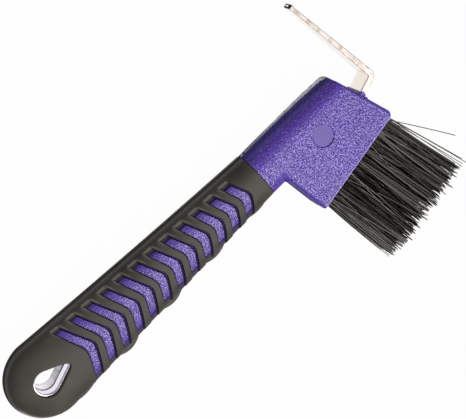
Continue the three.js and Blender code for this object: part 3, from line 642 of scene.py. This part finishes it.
def head_moulding(material):
    """Rings that run in from the outline: over the parting ledge and up the wall, over the edge rounding
    along the outline's own normals, then across the face to the rim of the round recess and down to its
    middle. The ledge is a fine line round the head that widens on the spine, from the neck to the end."""
    plan, normal, radius = head_outline()
    count = len(plan)
    on_spine = np.clip(-normal[:, 1], 0, 1) ** 4 * (plan[:, 1] > 8.0)
    ledge = (0.1 + on_spine * (0.5 + 1.0 * smoothstep(-30.0, 14.0, plan[:, 0])))[:, None]
    at_edge = head_height(plan, edge_round(np.zeros(count), radius))
    # rise, push outwards as a share of the ledge, and the height of the rib at the ledge's inner side
    wall = [(0.15, 1.0, 0.0), (0.2, 0.92, 0.0), (0.3, 0.6, 0.0), (0.36, 0.56, 0.4), (0.42, 0.46, 0.65)]
    wall += [(0.5, 0.1, 0.7), (0.62, 0.0, 0.4), (0.9, 0.0, 0.4), (3.0, 0.0, 0.0), (6.0, 0.0, 0.0)]
    rings = []
    for rise, push, rib in wall:
        rings.append((plan - push * ledge * normal, np.minimum(at_edge, rise + rib * on_spine)))
    rings.append((plan, at_edge))
    for inset in (0.0005, 0.003, 0.015, 0.05, 0.11, 0.19, 0.3, 0.44, 0.6, 0.78, 0.95):
        start = inset_plan(plan, normal, inset)
        rings.append((start, head_height(start, edge_round(np.full(count, inset), radius))))
    direction = start / np.linalg.norm(start, axis=1, keepdims=True)
    for share in np.concatenate([[0.012, 0.026, 0.042, 0.06, 0.08, 0.105], np.linspace(0.13, 1, 34)]):
        p = start + (direction * RECESS_RADIUS - start) * share
        rings.append((p, head_height(p, np.full(count, HALF_HEIGHT))))
    # the recess: radius and depth
    recess = [(5.3, 0.0), (5.15, 0.02), (5.05, 0.09), (4.99, 0.22), (4.95, 0.34), (4.88, 0.43)]
    recess += [(4.75, 0.47), (4.3, 0.47), (3.2, 0.46), (1.8, 0.45), (0.6, 0.45)]
    rings += [(direction * r, np.full(count, HALF_HEIGHT - depth)) for r, depth in recess]
    upper = np.array([np.column_stack(ring) for ring in rings])
    # tone: 1 on the edge over the brush, where a highlight is painted, below 0 on the walls, where shade
    # is painted, and 2 on the spine's rib, where a near-white highlight is painted
    low = upper[..., 2] < HALF_HEIGHT - 2.5
    brush_edge = (normal @ -OUTWARD > 0.97) & (np.abs(upper[..., 2] - HALF_HEIGHT + 0.16) < 0.155)
    brush_edge &= np.linalg.norm(upper[..., :2] - plan, axis=-1) < 0.65
    tone = np.where(brush_edge, 1.0, np.where(low & (normal[:, 1] > -0.9), -0.7, 0.0))
    tone = np.where(low & (on_spine > 0.5), -smoothstep(5.4, 3.4, upper[..., 2]), tone)
    tone[:6] = np.where(on_spine > 0.5, np.array([0.0, 0.0, 2.0, 2.0, 2.0, 2.0])[:, None], tone[:6])
    seam = np.column_stack([plan - ledge * normal, np.zeros(count)])
    table = np.concatenate([upper[::-1], seam[None], upper * [1, 1, -1]]) + [0, 0, HALF_HEIGHT]
    table[..., 0] = np.maximum(table[..., 0], NECK_X)
    hubs = [[0, 0, 2 * HALF_HEIGHT - RECESS_FLOOR], [0, 0, RECESS_FLOOR]]
    tone = np.concatenate([tone[::-1], tone[:1], tone])
    return build_piece("head_and_neck_moulding", *closed_tube(table, hubs), material, tone=tone)


def shank_bead(material):
    """The half-round bead that backs the shank and a smaller one beside it: round bars along Z whose ends
    close in quarter circles."""
    angles = np.linspace(0, 2 * math.pi, 28, endpoint=False)
    turn = np.linspace(0, math.pi / 2, 6)
    parts, start = [], 0
    # across the end face, in from it, radius and half length
    for down, inward, radius, half in ((1.8, -0.6, 1.55, 7.6), (4.8, 0.1, 1.1, 6.2)):
        middle = END_FOOT - down * SHANK_LEFT - inward * SHANK
        ball = 0.25 * radius
        r = radius - ball * (1 - np.cos(turn))
        z = half - ball * (1 - np.sin(turn))
        r, z = np.append(r[::-1], r)[:, None], np.append(-z[::-1], z)[:, None]
        ring = [middle[0] + r * np.cos(angles), middle[1] + r * np.sin(angles), HALF_HEIGHT + z + 0 * angles]
        hubs = [[*middle, HALF_HEIGHT + z[k, 0]] for k in (0, -1)]
        parts.append(closed_tube(np.stack(ring, axis=-1), hubs, start))
        start += len(parts[-1][0])
    return build_piece("shank_bead", *(np.concatenate(part) for part in zip(*parts)), material)


# ---------------------------------------------------------------- steel pick

ARM_ANGLE = math.radians(98.8)
ARM = np.array([math.cos(ARM_ANGLE), math.sin(ARM_ANGLE)])
ARM_LEFT = np.array([-ARM[1], ARM[0]])
STRIP, STRIP_WIDTH, BEND_RADIUS = 2.6, 12.7, 1.2
TANG, SHANK_LENGTH, ARM_LENGTH = 22.0, 9.5, 47.5  # the last two to the inner corner of the bend
TAPER_FROM, TIP_HALF, TIP_THICK, TIP_FLARE = 3.0, 3.0, 1.6, 0.6  # along the arm, then the tip's sizes
SHANK_FOOT = END_FOOT - 0.9 * SHANK_LEFT
INNER_CORNER = SHANK_FOOT + SHANK_LENGTH * SHANK


def rounded_off(left_over, radius):
    """How far a quarter round of some radius draws a side in, near the end that it closes."""
    over = np.clip(radius - left_over, 0, radius)
    return radius - np.sqrt(np.maximum(0, radius**2 - over**2))


def steel_pick(material):
    """A flat strip carried along its path: tang, shank, bend and arm. The section is a rectangle with
    rounded corners. On the arm its width falls from full to the tip's and its thickness thins, and the
    last millimetres flare, then round off in width and thickness."""
    bend = ARM_ANGLE - END_ANGLE
    tangent = BEND_RADIUS * math.tan(bend / 2)
    near_end = np.array([2.4, 2.0, 1.75, 1.6, 1.35, 1.2, 1.0, 0.8, 0.6, 0.45, 0.3, 0.17, 0.06, 0.0])
    shank = np.concatenate([[-TANG, 0.2 - TANG], np.linspace(1 - TANG, SHANK_LENGTH - tangent, 24)])
    turn = END_ANGLE + np.linspace(0, bend, 16)[1:]
    arm = np.concatenate([np.linspace(2, 44.8, 44), ARM_LENGTH - near_end])
    on_bend = np.column_stack([-np.sin(turn), np.cos(turn)])
    centre = INNER_CORNER - SHANK * tangent + SHANK_LEFT * BEND_RADIUS
    inner = [SHANK_FOOT + SHANK * shank[:, None], centre - on_bend * BEND_RADIUS]
    inner.append(INNER_CORNER + ARM * arm[:, None])
    left = [np.tile(SHANK_LEFT, (len(shank), 1)), on_bend, np.tile(ARM_LEFT, (len(arm), 1))]
    inner, left = np.concatenate(inner)[:, None], np.concatenate(left)[:, None]
    reach = np.append(np.zeros(len(shank) + len(turn)), arm)[:, None]
    left_over = ARM_LENGTH - reach
    t = np.clip((reach - TAPER_FROM) / (ARM_LENGTH - TAPER_FROM), 0, 1)
    soft = (t + 0.06 * (np.exp(-t / 0.06) - 1.0)) / 0.94
    half = STRIP_WIDTH / 2 + (TIP_HALF - STRIP_WIDTH / 2) * soft - rounded_off(left_over, 0.8)
    plain = STRIP + (TIP_THICK - STRIP) * t
    thick = plain + TIP_FLARE * smoothstep(ARM_LENGTH - 2.2, ARM_LENGTH - 1.6, reach)
    # the section, by quarters: a fifth of the points on each half side, the rest on the rounded corner
    radius, fifth = 0.24, 0.2
    angles = np.linspace(0, 4, 48, endpoint=False) + 2 / 48
    quarter = np.floor(angles).astype(int)
    local = angles - quarter
    arc = (quarter + np.clip((local - fifth) / 0.6, 0, 1)) * math.pi / 2
    side_u, side_v = np.array([1, -1, -1, 1])[quarter], np.array([1, 1, -1, -1])[quarter]
    u = side_u * (thick / 2 - rounded_off(left_over, 0.45) - radius) + radius * np.cos(arc)
    v = side_v * (half - radius) + radius * np.sin(arc)
    across = np.minimum(1, np.minimum(local, 1 - local) / fifth)
    on_face = (local < 0.5) == (quarter % 2 == 0)
    u, v = np.where(on_face, u, u * across), np.where(on_face, v * across, v)
    narrow = (np.abs(np.sin(arc)) > 0.3) & (np.abs(v) > half - 0.2)
    base = inner + left * (u - plain / 2)[..., None]
    table = np.concatenate([base, (HALF_HEIGHT + v)[..., None]], axis=-1)
    # tone: 1 on the near-black end, 0.5 on the sheared narrow edges, 0 on the rolled faces
    tone = np.where(left_over < 0.32, 1.0, np.where(narrow, 0.5, 0.0))
    end = table[-1].mean(axis=0)
    table = np.concatenate([table, [end + (table[-1] - end) * k for k in (0.62, 0.5)]])
    tone = np.concatenate([tone, np.tile([[1.0], [0.0]], (1, len(angles)))])
    tube = closed_tube(table, [table[0].mean(axis=0), end])
    return build_piece("pick_steel_strip", *tube, material, 50.0, tone)


# ---------------------------------------------------------------- bristles

FIRST_TUFT, TUFT_PITCH, ROW_SPACING = 4.4, 5.32, 5.0
BRISTLES, BRISTLE_SIDES, BRISTLE_LENGTH = 30, 6, 43.2  # how many in a tuft, their sides and length
FOOT_RADIUS = 1.42
GOLDEN_ANGLE = 2.39996
BRISTLE_ANGLES = np.linspace(0, 2 * math.pi, BRISTLE_SIDES, endpoint=False) + math.pi / 6
ALONG_BRISTLE = np.array([0.0, 0.08, 0.2, 0.36, 0.54, 0.72, 0.88, 0.985, 1.0])


def bristle_tubes(foot, tip, bow, flare, radius):
    """Thin tubes, one for each row of foot and tip points (along, out, z): a straight line, plus a flare
    that carries it sideways early on, plus a bow that is widest at the middle. Six sides, closed ends."""
    s = ALONG_BRISTLE[None, :, None]
    path = foot[:, None] * (1 - s) + tip[:, None] * s + bow[:, None] * 4 * s * (1 - s)
    path[:, :, 0:3:2] += flare[:, None, None] * (tip - foot)[:, None, 0:3:2] * (s * (1 - s))
    girth = np.where(ALONG_BRISTLE < 1.0, 1.0, 0.72)[None, :, None] * radius[:, None, None]
    a = path[..., 0:1] + girth * np.cos(BRISTLE_ANGLES)
    z = path[..., 2:3] + girth * np.sin(BRISTLE_ANGLES)
    out = np.repeat(path[..., 1:2], BRISTLE_SIDES, axis=2)
    plan = BRUSH_CORNER + a[..., None] * ALONG + out[..., None] * OUTWARD
    points = np.concatenate([plan, z[..., None]], axis=-1).reshape(-1, 3)
    index = np.arange(len(points)).reshape(len(foot), len(ALONG_BRISTLE), BRISTLE_SIDES)
    caps = []
    for ring, step in ((index[:, 0], -1), (index[:, -1], 1)):
        for k in range(1, BRISTLE_SIDES - 1):
            caps.append(np.stack([ring[:, 0], *ring[:, [k, k + 1]].T[::step]], axis=-1))
    return points, grid_quads(index), np.concatenate(caps)


def tuft_feet(rng):
    """Feet spread evenly over the tuft's round hole by the golden angle, in units of the hole's radius."""
    k = np.arange(BRISTLES)
    r = np.sqrt((k + 0.5) / BRISTLES)
    a = k * GOLDEN_ANGLE + rng.uniform(0, 6.28)
    return np.column_stack([r * np.cos(a), r * np.sin(a)])


def bristle_tuft(row, i, rng, material):
    """One tuft: bristles stand close in the hole and fan out until they meet their neighbours. Each leans
    and bows a little on its own, and ends at its own length. The upper row's first tuft has two fine
    bristles that stand off at the brush's corner. Its last has five strays that lean out past the head."""
    count = BRISTLES
    along = FIRST_TUFT + TUFT_PITCH * (i + row % 2 / 2)
    z = HALF_HEIGHT + ROW_SPACING * (row - 1)
    feet = tuft_feet(rng)
    lean = -0.9 + 0.083 * (along - FIRST_TUFT)
    foot = [along + FOOT_RADIUS * feet[:, 0], np.full(count, -1.2), z + FOOT_RADIUS * feet[:, 1]]
    foot = np.column_stack(foot)
    wild = np.where(rng.random(count) < 0.4, 2.3, 0.8)[:, None]
    spread = feet * np.array([2.4, 2.1]) + rng.normal(0, [1.3, 0.7], (count, 2)) * wild
    length = BRISTLE_LENGTH + rng.normal(0, 0.95, count)
    long_ones = rng.random(count) < 0.07
    length = np.where(long_ones, length + rng.uniform(0.8, 2.4, count), length)
    length -= 2.8 * smoothstep(12.0, 0.0, along) + 0.8 * smoothstep(42.0, 50.0, along)
    least, most = 0.9 + 1.2 * rng.random(count), 51.3 - rng.random(count)
    tip_along = np.clip(along + lean + spread[:, 0], least, most)
    tip = np.column_stack([tip_along, length, np.clip(z + spread[:, 1], 1.0, 17.0)])
    sideways = rng.normal(0, 0.38 if along > 8.0 else 0.12, count)
    bow = np.column_stack([sideways, np.zeros(count), rng.normal(0, 0.25, count)])
    flare = np.full(count, 0.3 if along < 45.0 else 0.05)
    tone = rng.random(count) + 0.22 * smoothstep(15.0, 3.0, along)
    radius = rng.uniform(0.22, 0.28, count)
    if row == 2 and i == 0:
        tip[:2] = [[0.2, 41.3, 14.0], [0.95, 41.6, 13.0]]
        foot[:2, 0] = along - 1.4
        radius[:2] = 0.15
        tone[:2] = 0.9
    if row == 2 and i == 8:
        strays = [[1.4, -1, 0.5], [0.9, -1, 0], [1.9, -1, -0.6], [1.6, -1, 0.9]]
        foot = np.concatenate([foot, [along, 0, z] + np.array(strays), [[46.96, -1.0, 14.0]]])
        strays = [[7.8, 45.9, 14], [6.4, 45.2, 13], [8.2, 44.2, 12], [5.0, 44.6, 15]]
        tip = np.concatenate([tip, [along, 0, 0] + np.array(strays), [[61.9, 35.9, 9.3]]])
        bow = np.concatenate([bow, np.array([[1], [0.6], [-0.5], [1.2], [0.3]]) * [0.2, 0, 0.1]])
        radius = np.append(radius, [0.2, 0.2, 0.2, 0.2, 0.24])
        tone = np.append(tone, np.full(5, 0.7))
        flare = np.append(flare, np.full(5, 0.05))
    points, quads, tris = bristle_tubes(foot, tip, bow, flare, radius)
    # a painted highlight line: each bristle keeps its full tone only on its top and underside, and a tenth
    # of it on its other sides
    painted_highlight_sides = np.where(np.abs(np.sin(BRISTLE_ANGLES)) > 0.9, 1.0, 0.1)
    tone = tone[:, None, None] * painted_highlight_sides * np.ones((1, len(ALONG_BRISTLE), 1))
    return build_piece(f"bristles_row{row + 1}_{i + 1}", points, quads, tris, material, 65.0, tone)


# ---------------------------------------------------------------- materials


def linear(hex_colour):
    """An sRGB hex colour as linear RGBA."""
    parts = np.array([int(hex_colour[i : i + 2], 16) / 255 for i in (1, 3, 5)])
    parts = np.where(parts <= 0.04045, parts / 12.92, ((parts + 0.055) / 1.055) ** 2.4)
    return (*parts, 1.0)


def add_node(tree, kind, *first, **rest):
    """A shader node. Its first inputs in use take the values of first in order. Of the rest, a name in
    lower case is a setting and any other is an input, with underscores for its spaces. An input takes a
    value, an sRGB hex colour, a node's output, or a node, which stands for its first output in use."""
    made = tree.nodes.new("ShaderNode" + kind)
    for key, value in rest.items():
        if key.islower():
            setattr(made, key, value)
    inputs = list(zip([socket for socket in made.inputs if socket.enabled], first))
    inputs += [(made.inputs[key.replace("_", " ")], rest[key]) for key in rest if not key.islower()]
    for socket, value in inputs:
        if isinstance(value, bpy.types.Node):
            value = next(output for output in value.outputs if output.enabled)
        if isinstance(value, bpy.types.NodeSocket):
            tree.links.new(value, socket)
        else:
            socket.default_value = linear(value) if isinstance(value, str) else value
    return made


def fill(owner, output, surface):
    """Empties a material's or a world's node tree and fills it with the surface that a function builds
    with add, which is add_node for that tree."""
    owner.use_nodes = True
    owner.node_tree.nodes.clear()
    add = functools.partial(add_node, owner.node_tree)
    add(output, surface(add))
    return owner


def new_material(name, surface):
    return fill(bpy.data.materials.new(name), "OutputMaterial", surface)


def per_mm(size):
    """A texture scale that repeats about every so many millimetres of Object coordinates, in metres."""
    return 1000.0 / size


def purple_polypropylene(add):
    """Injection-moulded polypropylene with a fine leather-grain tool texture: satin sheen over rounded
    grains and narrow wrinkles about a millimetre apart, finer on the handle's pads, with painted shade
    in the wrinkles. The round recess is left smooth. The handle core, seen in its pads, is painted darker
    than the head as shade, the head's lower walls and the pads' spine ends carry painted shade, and the
    edge over the brush a painted highlight. The spine's parting ledge is painted near white as a
    reflection, mottled clear and dark at the joint itself, and the rib along its inner side is painted
    white as a highlight."""
    where = add("TexCoord").outputs["Object"]
    tone = add("Attribute", attribute_name="tone").outputs["Fac"]
    along, across, height = add("SeparateXYZ", where).outputs

    # in metres of the frame: 1 off the recess in the face, 1 off the spine's ledge, and 1 on the head
    head_starts = {"From_Min": 0.0317, "From_Max": 0.0318}
    middle = (DRAWING_ORIGIN * MM).tolist()
    flat = add("VectorMath", where, (1.0, 1.0, 0.0), operation="MULTIPLY")
    distance = add("VectorMath", flat, (middle[0], middle[1], 0.0), operation="DISTANCE")
    off_disc = add("MapRange", distance, From_Min=0.0046, From_Max=0.0052, To_Min=0.15)
    from_joint = add("Math", height, HALF_HEIGHT * MM, operation="SUBTRACT")
    from_joint = add("Math", from_joint, operation="ABSOLUTE")
    off_joint = add("MapRange", from_joint, From_Min=0.00055, From_Max=0.00066)
    off_spine = add("MapRange", across, From_Min=0.0226, From_Max=0.0222)
    off_ledge = add("Math", off_joint, off_spine, operation="MAXIMUM")
    on_head = add("MapRange", along, To_Min=0.75, **head_starts)
    grained = add("Math", off_disc, off_ledge, operation="MULTIPLY")

    # the grain: wrinkles run where a noise is near its middle, and the grains rise between them
    finer = add("MapRange", along, To_Min=1.35, To_Max=1.0, **head_starts)
    grain_at = add("VectorMath", where, Scale=finer, operation="SCALE")
    worms = add("TexNoise", grain_at, Scale=per_mm(1.0), Detail=1.0, Roughness=0.5, Distortion=0.25)
    off_middle = add("Math", worms, 0.5, operation="SUBTRACT")
    ridged = add("Math", off_middle, operation="ABSOLUTE")
    wrinkle = add("MapRange", ridged, From_Min=0.0, From_Max=0.055)
    grains = add("Math", worms, 2.6, wrinkle, operation="MULTIPLY_ADD")
    bumped = add("Math", grained, on_head, operation="MULTIPLY")
    bump = add("Bump", Strength=bumped, Distance=0.00013, Height=grains)

    # the ledge: clear and dark flecks at the joint, and all white over them, a painted reflection
    flecks = add("TexNoise", where, Scale=per_mm(1.1), Detail=2.0)
    speckled = add("MapRange", flecks, From_Min=0.38, From_Max=0.56)
    on_foot = add("MapRange", from_joint, From_Min=0.0003, From_Max=0.00036)
    lightness = add("Math", speckled, on_foot, operation="MAXIMUM")
    ledge_painted_reflection = add("Mix", lightness, "#26242e", "#e6e4ea", data_type="RGBA")

    # the plastic's colour from the wrinkles up, with each layer over the one before by its own share
    brush_edge_painted_highlight = add("MapRange", tone, To_Max=0.8)
    painted_shade_share = add("MapRange", tone, From_Min=0.0, From_Max=-1.0, To_Max=0.75)
    rib_painted_highlight = add("MapRange", tone, From_Min=1.2, From_Max=1.8)
    # the wrinkles are coloured darker than the grains: painted shade in the grain's creases
    colour = add("Mix", wrinkle, "#291680", "#6039bd", data_type="RGBA")
    colour = add("Mix", off_disc, "#492a9a", colour, data_type="RGBA")
    colour = add("Mix", off_ledge, ledge_painted_reflection, colour, data_type="RGBA")
    # painted light: a highlight on the edge over the brush, shade on the head's lower walls and the pads'
    # spine ends, and a near-white highlight on the spine's rib
    for share, over in ((brush_edge_painted_highlight, "#c3b8e6"), (painted_shade_share, "#160890"), (rib_painted_highlight, "#fcfaff")):
        colour = add("Mix", share, colour, over, data_type="RGBA")
    broad = add("TexNoise", where, Scale=per_mm(14.0), Detail=3.0)
    shade = add("MapRange", broad, From_Min=0.3, From_Max=0.7, To_Min=0.95, To_Max=1.05)
    # painted shade: lit darkens the handle core, seen in its pads, to 0.84 of the head's value; shade is a
    # random broad mottle
    lit = add("MapRange", on_head, From_Min=0.75, To_Min=0.84)
    mottle_and_pads_painted_shade = add("Math", shade, lit, operation="MULTIPLY")
    colour = add("HueSaturation", Color=colour, Value=mottle_and_pads_painted_shade)

    on_ledge = add("Math", 1.0, off_ledge, operation="SUBTRACT")
    off_foot = add("Math", 1.0, on_foot, operation="SUBTRACT")
    clear = add("Math", on_ledge, speckled, operation="MULTIPLY")
    clear = add("Math", clear, off_foot, operation="MULTIPLY")
    satin = add("MapRange", grained, To_Min=0.57, To_Max=0.33)
    matt = add("MapRange", tone, From_Min=0.0, From_Max=-1.0, To_Max=0.5)
    rough = add("Math", satin, matt, operation="ADD")
    body = {"IOR": 1.55, "Specular_IOR_Level": 0.9, "Transmission_Weight": clear}
    return add("BsdfPrincipled", Base_Color=colour, Roughness=rough, Normal=bump, **body)


def black_rubber(add):
    """Moulded thermoplastic rubber: dark warm grey, satin, with a faint mottle where it has been handled.
    The channels round the pads are painted a dark violet grey as shade, and pale highlights are painted
    on the fine raised lines, the shoulder beside the joint and a glint at the butt's lower corner."""
    where = add("TexCoord").outputs["Object"]
    tone = add("Attribute", attribute_name="tone").outputs["Fac"]
    mottle = add("TexNoise", where, Scale=per_mm(18.0), Detail=4.0)
    fine = add("TexNoise", where, Scale=per_mm(0.35), Detail=3.0)
    # painted shade in the channels round the pads
    channel_painted_shade = add("MapRange", tone)
    # painted highlight: on_line lightens the fine raised lines, the shoulder beside the joint and the glint
    # at the butt's corner
    on_line = add("MapRange", tone, From_Min=0.0, From_Max=-2.0)
    colour = add("Mix", mottle, "#38352f", "#5b564f", data_type="RGBA")
    for share, over in ((channel_painted_shade, "#3e3754"), (on_line, "#e2dfd8")):
        colour = add("Mix", share, colour, over, data_type="RGBA")
    rough = add("MapRange", mottle, From_Min=0.3, From_Max=0.7, To_Min=0.42, To_Max=0.5)
    bump = add("Bump", Strength=0.25, Distance=0.00003, Height=fine)
    body = {"IOR": 1.52, "Specular_IOR_Level": 0.19}
    return add("BsdfPrincipled", Base_Color=colour, Roughness=rough, Normal=bump, **body)


def polished_steel(add):
    """Nickel-plated strip steel: bright warm white rolled faces with fine polishing lines, duller sheared
    edges with scuffs along them, and a near-black ring at the ground tip."""
    where = add("TexCoord").outputs["Object"]
    tone = add("Attribute", attribute_name="tone").outputs["Fac"]
    stretched = add("Mapping", where, Scale=(1.0, 0.06, 1.0))
    lines = add("TexNoise", stretched, Scale=per_mm(0.5), Detail=3.0)
    scuffs = add("TexNoise", where, Scale=per_mm(3.0), Detail=5.0)
    paler_share = add("MapRange", scuffs, From_Min=0.35, From_Max=0.55)
    is_edge = add("MapRange", tone, From_Min=0.1, From_Max=0.5)
    is_tip = add("MapRange", tone, From_Min=0.55, From_Max=0.9)
    sheared = add("Mix", paler_share, "#a3948a", "#c0b7b0", data_type="RGBA")
    colour = add("Mix", is_edge, "#f8eee4", sheared, data_type="RGBA")
    colour = add("Mix", is_tip, colour, "#15140f", data_type="RGBA")
    rough = add("MapRange", lines, From_Min=0.3, From_Max=0.7, To_Min=0.12, To_Max=0.24)
    rough = add("Math", is_edge, 0.28, rough, operation="MULTIPLY_ADD")
    bump = add("Bump", Strength=0.2, Distance=0.00002, Height=lines)
    return add("BsdfPrincipled", Base_Color=colour, Metallic=1.0, Roughness=rough, Normal=bump)


def bright_eyelet(add):
    """Pressed plated sheet: silvery, drawn in upright streaks, painted brighter over the step and at the
    round end than in the tube as a painted highlight, with a dark line round the wall a little under the
    rim."""
    where = add("TexCoord").outputs["Object"]
    along, _, height = add("SeparateXYZ", where).outputs
    upright = add("Mapping", where, Scale=(1.0, 1.0, 0.12))
    streaks = add("TexNoise", upright, Scale=per_mm(1.6), Detail=3.0)
    uneven = add("MapRange", streaks, From_Min=0.3, From_Max=0.68)
    step = EYELET_STEP * MM
    upper = add("MapRange", height, From_Min=step - 0.0004, From_Max=step)
    round_end = float(DRAWING_ORIGIN[0] + HOLE[0]) * MM
    in_end = add("MapRange", along, From_Min=round_end + 0.004, From_Max=round_end - 0.004)
    off_line = add("Math", height, (EYELET_TOP - 1.1) * MM, operation="SUBTRACT")
    off_line = add("Math", off_line, operation="ABSOLUTE")
    on_line = add("MapRange", off_line, From_Min=0.0005, From_Max=0.0003)
    # painted highlight: the round end and the wall over the step are painted near white; on_line draws a
    # dark band 1.1 mm under the top
    colour = add("Mix", uneven, "#5e5b62", "#c4c1c7", data_type="RGBA")
    for share, over in ((in_end, "#f4f1f8"), (upper, "#eae6f0"), (on_line, "#5c5964")):
        colour = add("Mix", share, colour, over, data_type="RGBA")
    dents = add("MapRange", upper, To_Min=0.6, To_Max=0.25)
    bump = add("Bump", Strength=dents, Distance=0.0001, Height=streaks)
    rough = add("MapRange", streaks, To_Min=0.15, To_Max=0.3)
    smoother = add("MapRange", upper, To_Min=1.0, To_Max=0.4)
    rough = add("Math", rough, smoother, operation="MULTIPLY")
    return add("BsdfPrincipled", Base_Color=colour, Metallic=1.0, Roughness=rough, Normal=bump)


def black_nylon(add):
    """Drawn black nylon monofilament: near black with a soft gloss. Each length has its own tone, from
    black to a warm grey, kept only on its top and underside as a painted highlight line, so its other
    sides stay near black."""
    tone = add("Attribute", attribute_name="tone").outputs["Fac"]
    # the bristle's tone: its painted highlight line on top and underside, near black elsewhere
    paler_share = add("MapRange", tone, From_Min=0.1, From_Max=1.0)
    colour = add("Mix", paler_share, "#010101", "#a39c96", data_type="RGBA")
    rough = add("MapRange", tone, To_Min=0.5, To_Max=0.25)
    return add("BsdfPrincipled", Base_Color=colour, Roughness=rough, IOR=1.53, Specular_IOR_Level=0.05)


def anchor_wire(add):
    """Flat galvanised wire, dull silver, with a fine drawn texture."""
    where = add("TexCoord").outputs["Object"]
    drawn = add("TexNoise", where, Scale=per_mm(0.4), Detail=3.0)
    rough = add("MapRange", drawn, To_Min=0.3, To_Max=0.5)
    return add("BsdfPrincipled", Base_Color="#b6b2a8", Metallic=1.0, Roughness=rough)


# ---------------------------------------------------------------- floor, light and camera


def white_paper(add):
    """Matt paper that the camera sees white, with the object's soft shadow kept. Metal and gloss show it
    white too, and dimmer where a reflection meets it at a shallow angle, far from the object."""
    ray = add("LightPath").outputs
    facing = add("LayerWeight", Blend=0.5).outputs["Facing"]
    steep = {"From_Min": 0.13, "From_Max": 0.2, "To_Min": 1.0, "To_Max": 0.02}
    steep = add("MapRange", facing, **steep, interpolation_type="SMOOTHSTEP")
    seen = add("Math", ray["Is Glossy Ray"], steep, operation="MULTIPLY")
    for kind in ("Is Camera Ray", "Is Transmission Ray"):
        seen = add("Math", seen, ray[kind], operation="MAXIMUM")
    share = add("Math", seen, 0.98, operation="MULTIPLY")
    paper = add("BsdfDiffuse", Color="#b0b0b0")
    glow = add("Emission", Color="#ffffff", Strength=1.0)
    return add("MixShader", share, paper, glow)


def white_floor():
    size, below = 3.0, -0.0002  # m
    corners = [(x * size, y * size, below) for x, y in ((-1, -1), (1, -1), (1, 1), (-1, 1))]
    mesh = bpy.data.meshes.new("floor")
    mesh.from_pydata(corners, [], [(0, 1, 2, 3)])
    mesh.materials.append(new_material("white_paper_floor", white_paper))
    place("floor", mesh)


def studio(add):
    """Even pale surroundings: dim for the light that falls on the object, white for the camera, and a
    studio for reflections, bright overhead and darker towards the walls."""
    ray = add("LightPath").outputs
    split = add("SeparateXYZ", add("TexCoord").outputs["Generated"]).outputs
    up = {"From_Min": 0.3, "From_Max": 0.85, "To_Min": 0.04, "To_Max": 0.85}
    up = add("MapRange", split["Z"], **up, interpolation_type="SMOOTHSTEP")
    side = {"From_Min": -0.1, "From_Max": 0.5, "To_Min": 1.0, "To_Max": 0.03}
    side = add("MapRange", split["Y"], **side, interpolation_type="SMOOTHSTEP")
    lit = add("Math", up, side, operation="MULTIPLY")
    room, soft, white = (add("Background", Color="#ffffff", Strength=s) for s in (lit, 0.34, 1.0))
    for_gloss = add("MixShader", ray["Is Glossy Ray"], soft, room)
    seen = add("Math", ray["Is Camera Ray"], ray["Is Transmission Ray"], operation="MAXIMUM")
    return add("MixShader", seen, for_gloss, white)


def softbox(name, at, width, depth, watts):
    """A rectangular lamp that looks at the middle of the object, its width along X."""
    lamp = bpy.data.lights.new(name, "AREA")
    lamp.shape = "RECTANGLE"
    lamp.size, lamp.size_y, lamp.energy = width, depth, watts
    made = place(name, lamp)
    made.location = at
    aim = Vector((0, 0, HALF_HEIGHT * MM)) - Vector(at)
    made.rotation_euler = aim.to_track_quat("-Z", "Y").to_euler()


def photo_camera():
    """The photograph's viewpoint: over the spine side, looking down across the handle. Solved from the
    outline of the head and grip and from the pick's strip."""
    at = (np.array([-111.05676, 285.98801, 656.51781]) + DRAWING_ORIGIN) * MM
    right = Vector((0.70557, -0.62164, 0.3402)).normalized()
    back = Vector((-0.08697, 0.40048, 0.91217)).normalized()
    up = back.cross(right).normalized()
    focal, width = 1645.0, 466.0  # both in the photograph's pixels
    data = bpy.data.cameras.new("photo_camera")
    data.sensor_fit, data.sensor_width = "HORIZONTAL", 36.0
    data.lens = data.sensor_width * focal / width
    data.clip_start, data.clip_end = 0.01, 20.0
    matrix = Matrix((right, up, back)).transposed().to_4x4()
    matrix.translation = Vector(at)
    made = place("photo_camera", data)
    made.matrix_world = matrix
    bpy.context.scene.camera = made


# ---------------------------------------------------------------- the whole


def settle(piece, slot, *nodes):
    """Rides a piece on the one body and hides the CAD nodes that it stands for. slot is not used."""
    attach(piece, "root")
    if nodes:
        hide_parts(*nodes)


bpy.context.scene.view_settings.view_transform = "Standard"
photo_camera()
bpy.context.scene.world = fill(bpy.data.worlds.new("studio"), "OutputWorld", studio)
white_floor()
softbox("overhead_softbox", (0.06, -0.53, 0.9), 0.6, 0.95, 8.2)

purple = new_material("purple_polypropylene_leather_grain", purple_polypropylene)
rubber = new_material("black_overmould_rubber", black_rubber)
steel = new_material("nickel_plated_steel_polished", polished_steel)
plated = new_material("plated_sheet_eyelet", bright_eyelet)
nylon = new_material("black_nylon_monofilament", black_nylon)
wire = new_material("galvanised_flat_wire", anchor_wire)

settle(head_moulding(purple), "purple_plastic", "head_and_handle_core")
settle(handle_core(purple), "purple_plastic", "head_and_handle_core")
settle(shank_bead(purple), "purple_plastic")
settle(rubber_sleeve(rubber), "black_rubber", "rubber_grip_sleeve")
settle(steel_pick(steel), "pick_steel", "steel_hoof_pick")
settle(eyelet_lining(plated), "eyelet_metal", "hanging_hole_eyelet")

rng = np.random.default_rng(7)
for row in range(3):
    for i in range(9 - row % 2):
        settle(bristle_tuft(row, i, rng, nylon), "bristle_nylon", f"bristle_tuft_row{row + 1}_{i + 1}")
        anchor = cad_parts[f"tuft_anchor_row{row + 1}_{i + 1}"]
        for finish in anchor.material_slots:
            finish.material = wire
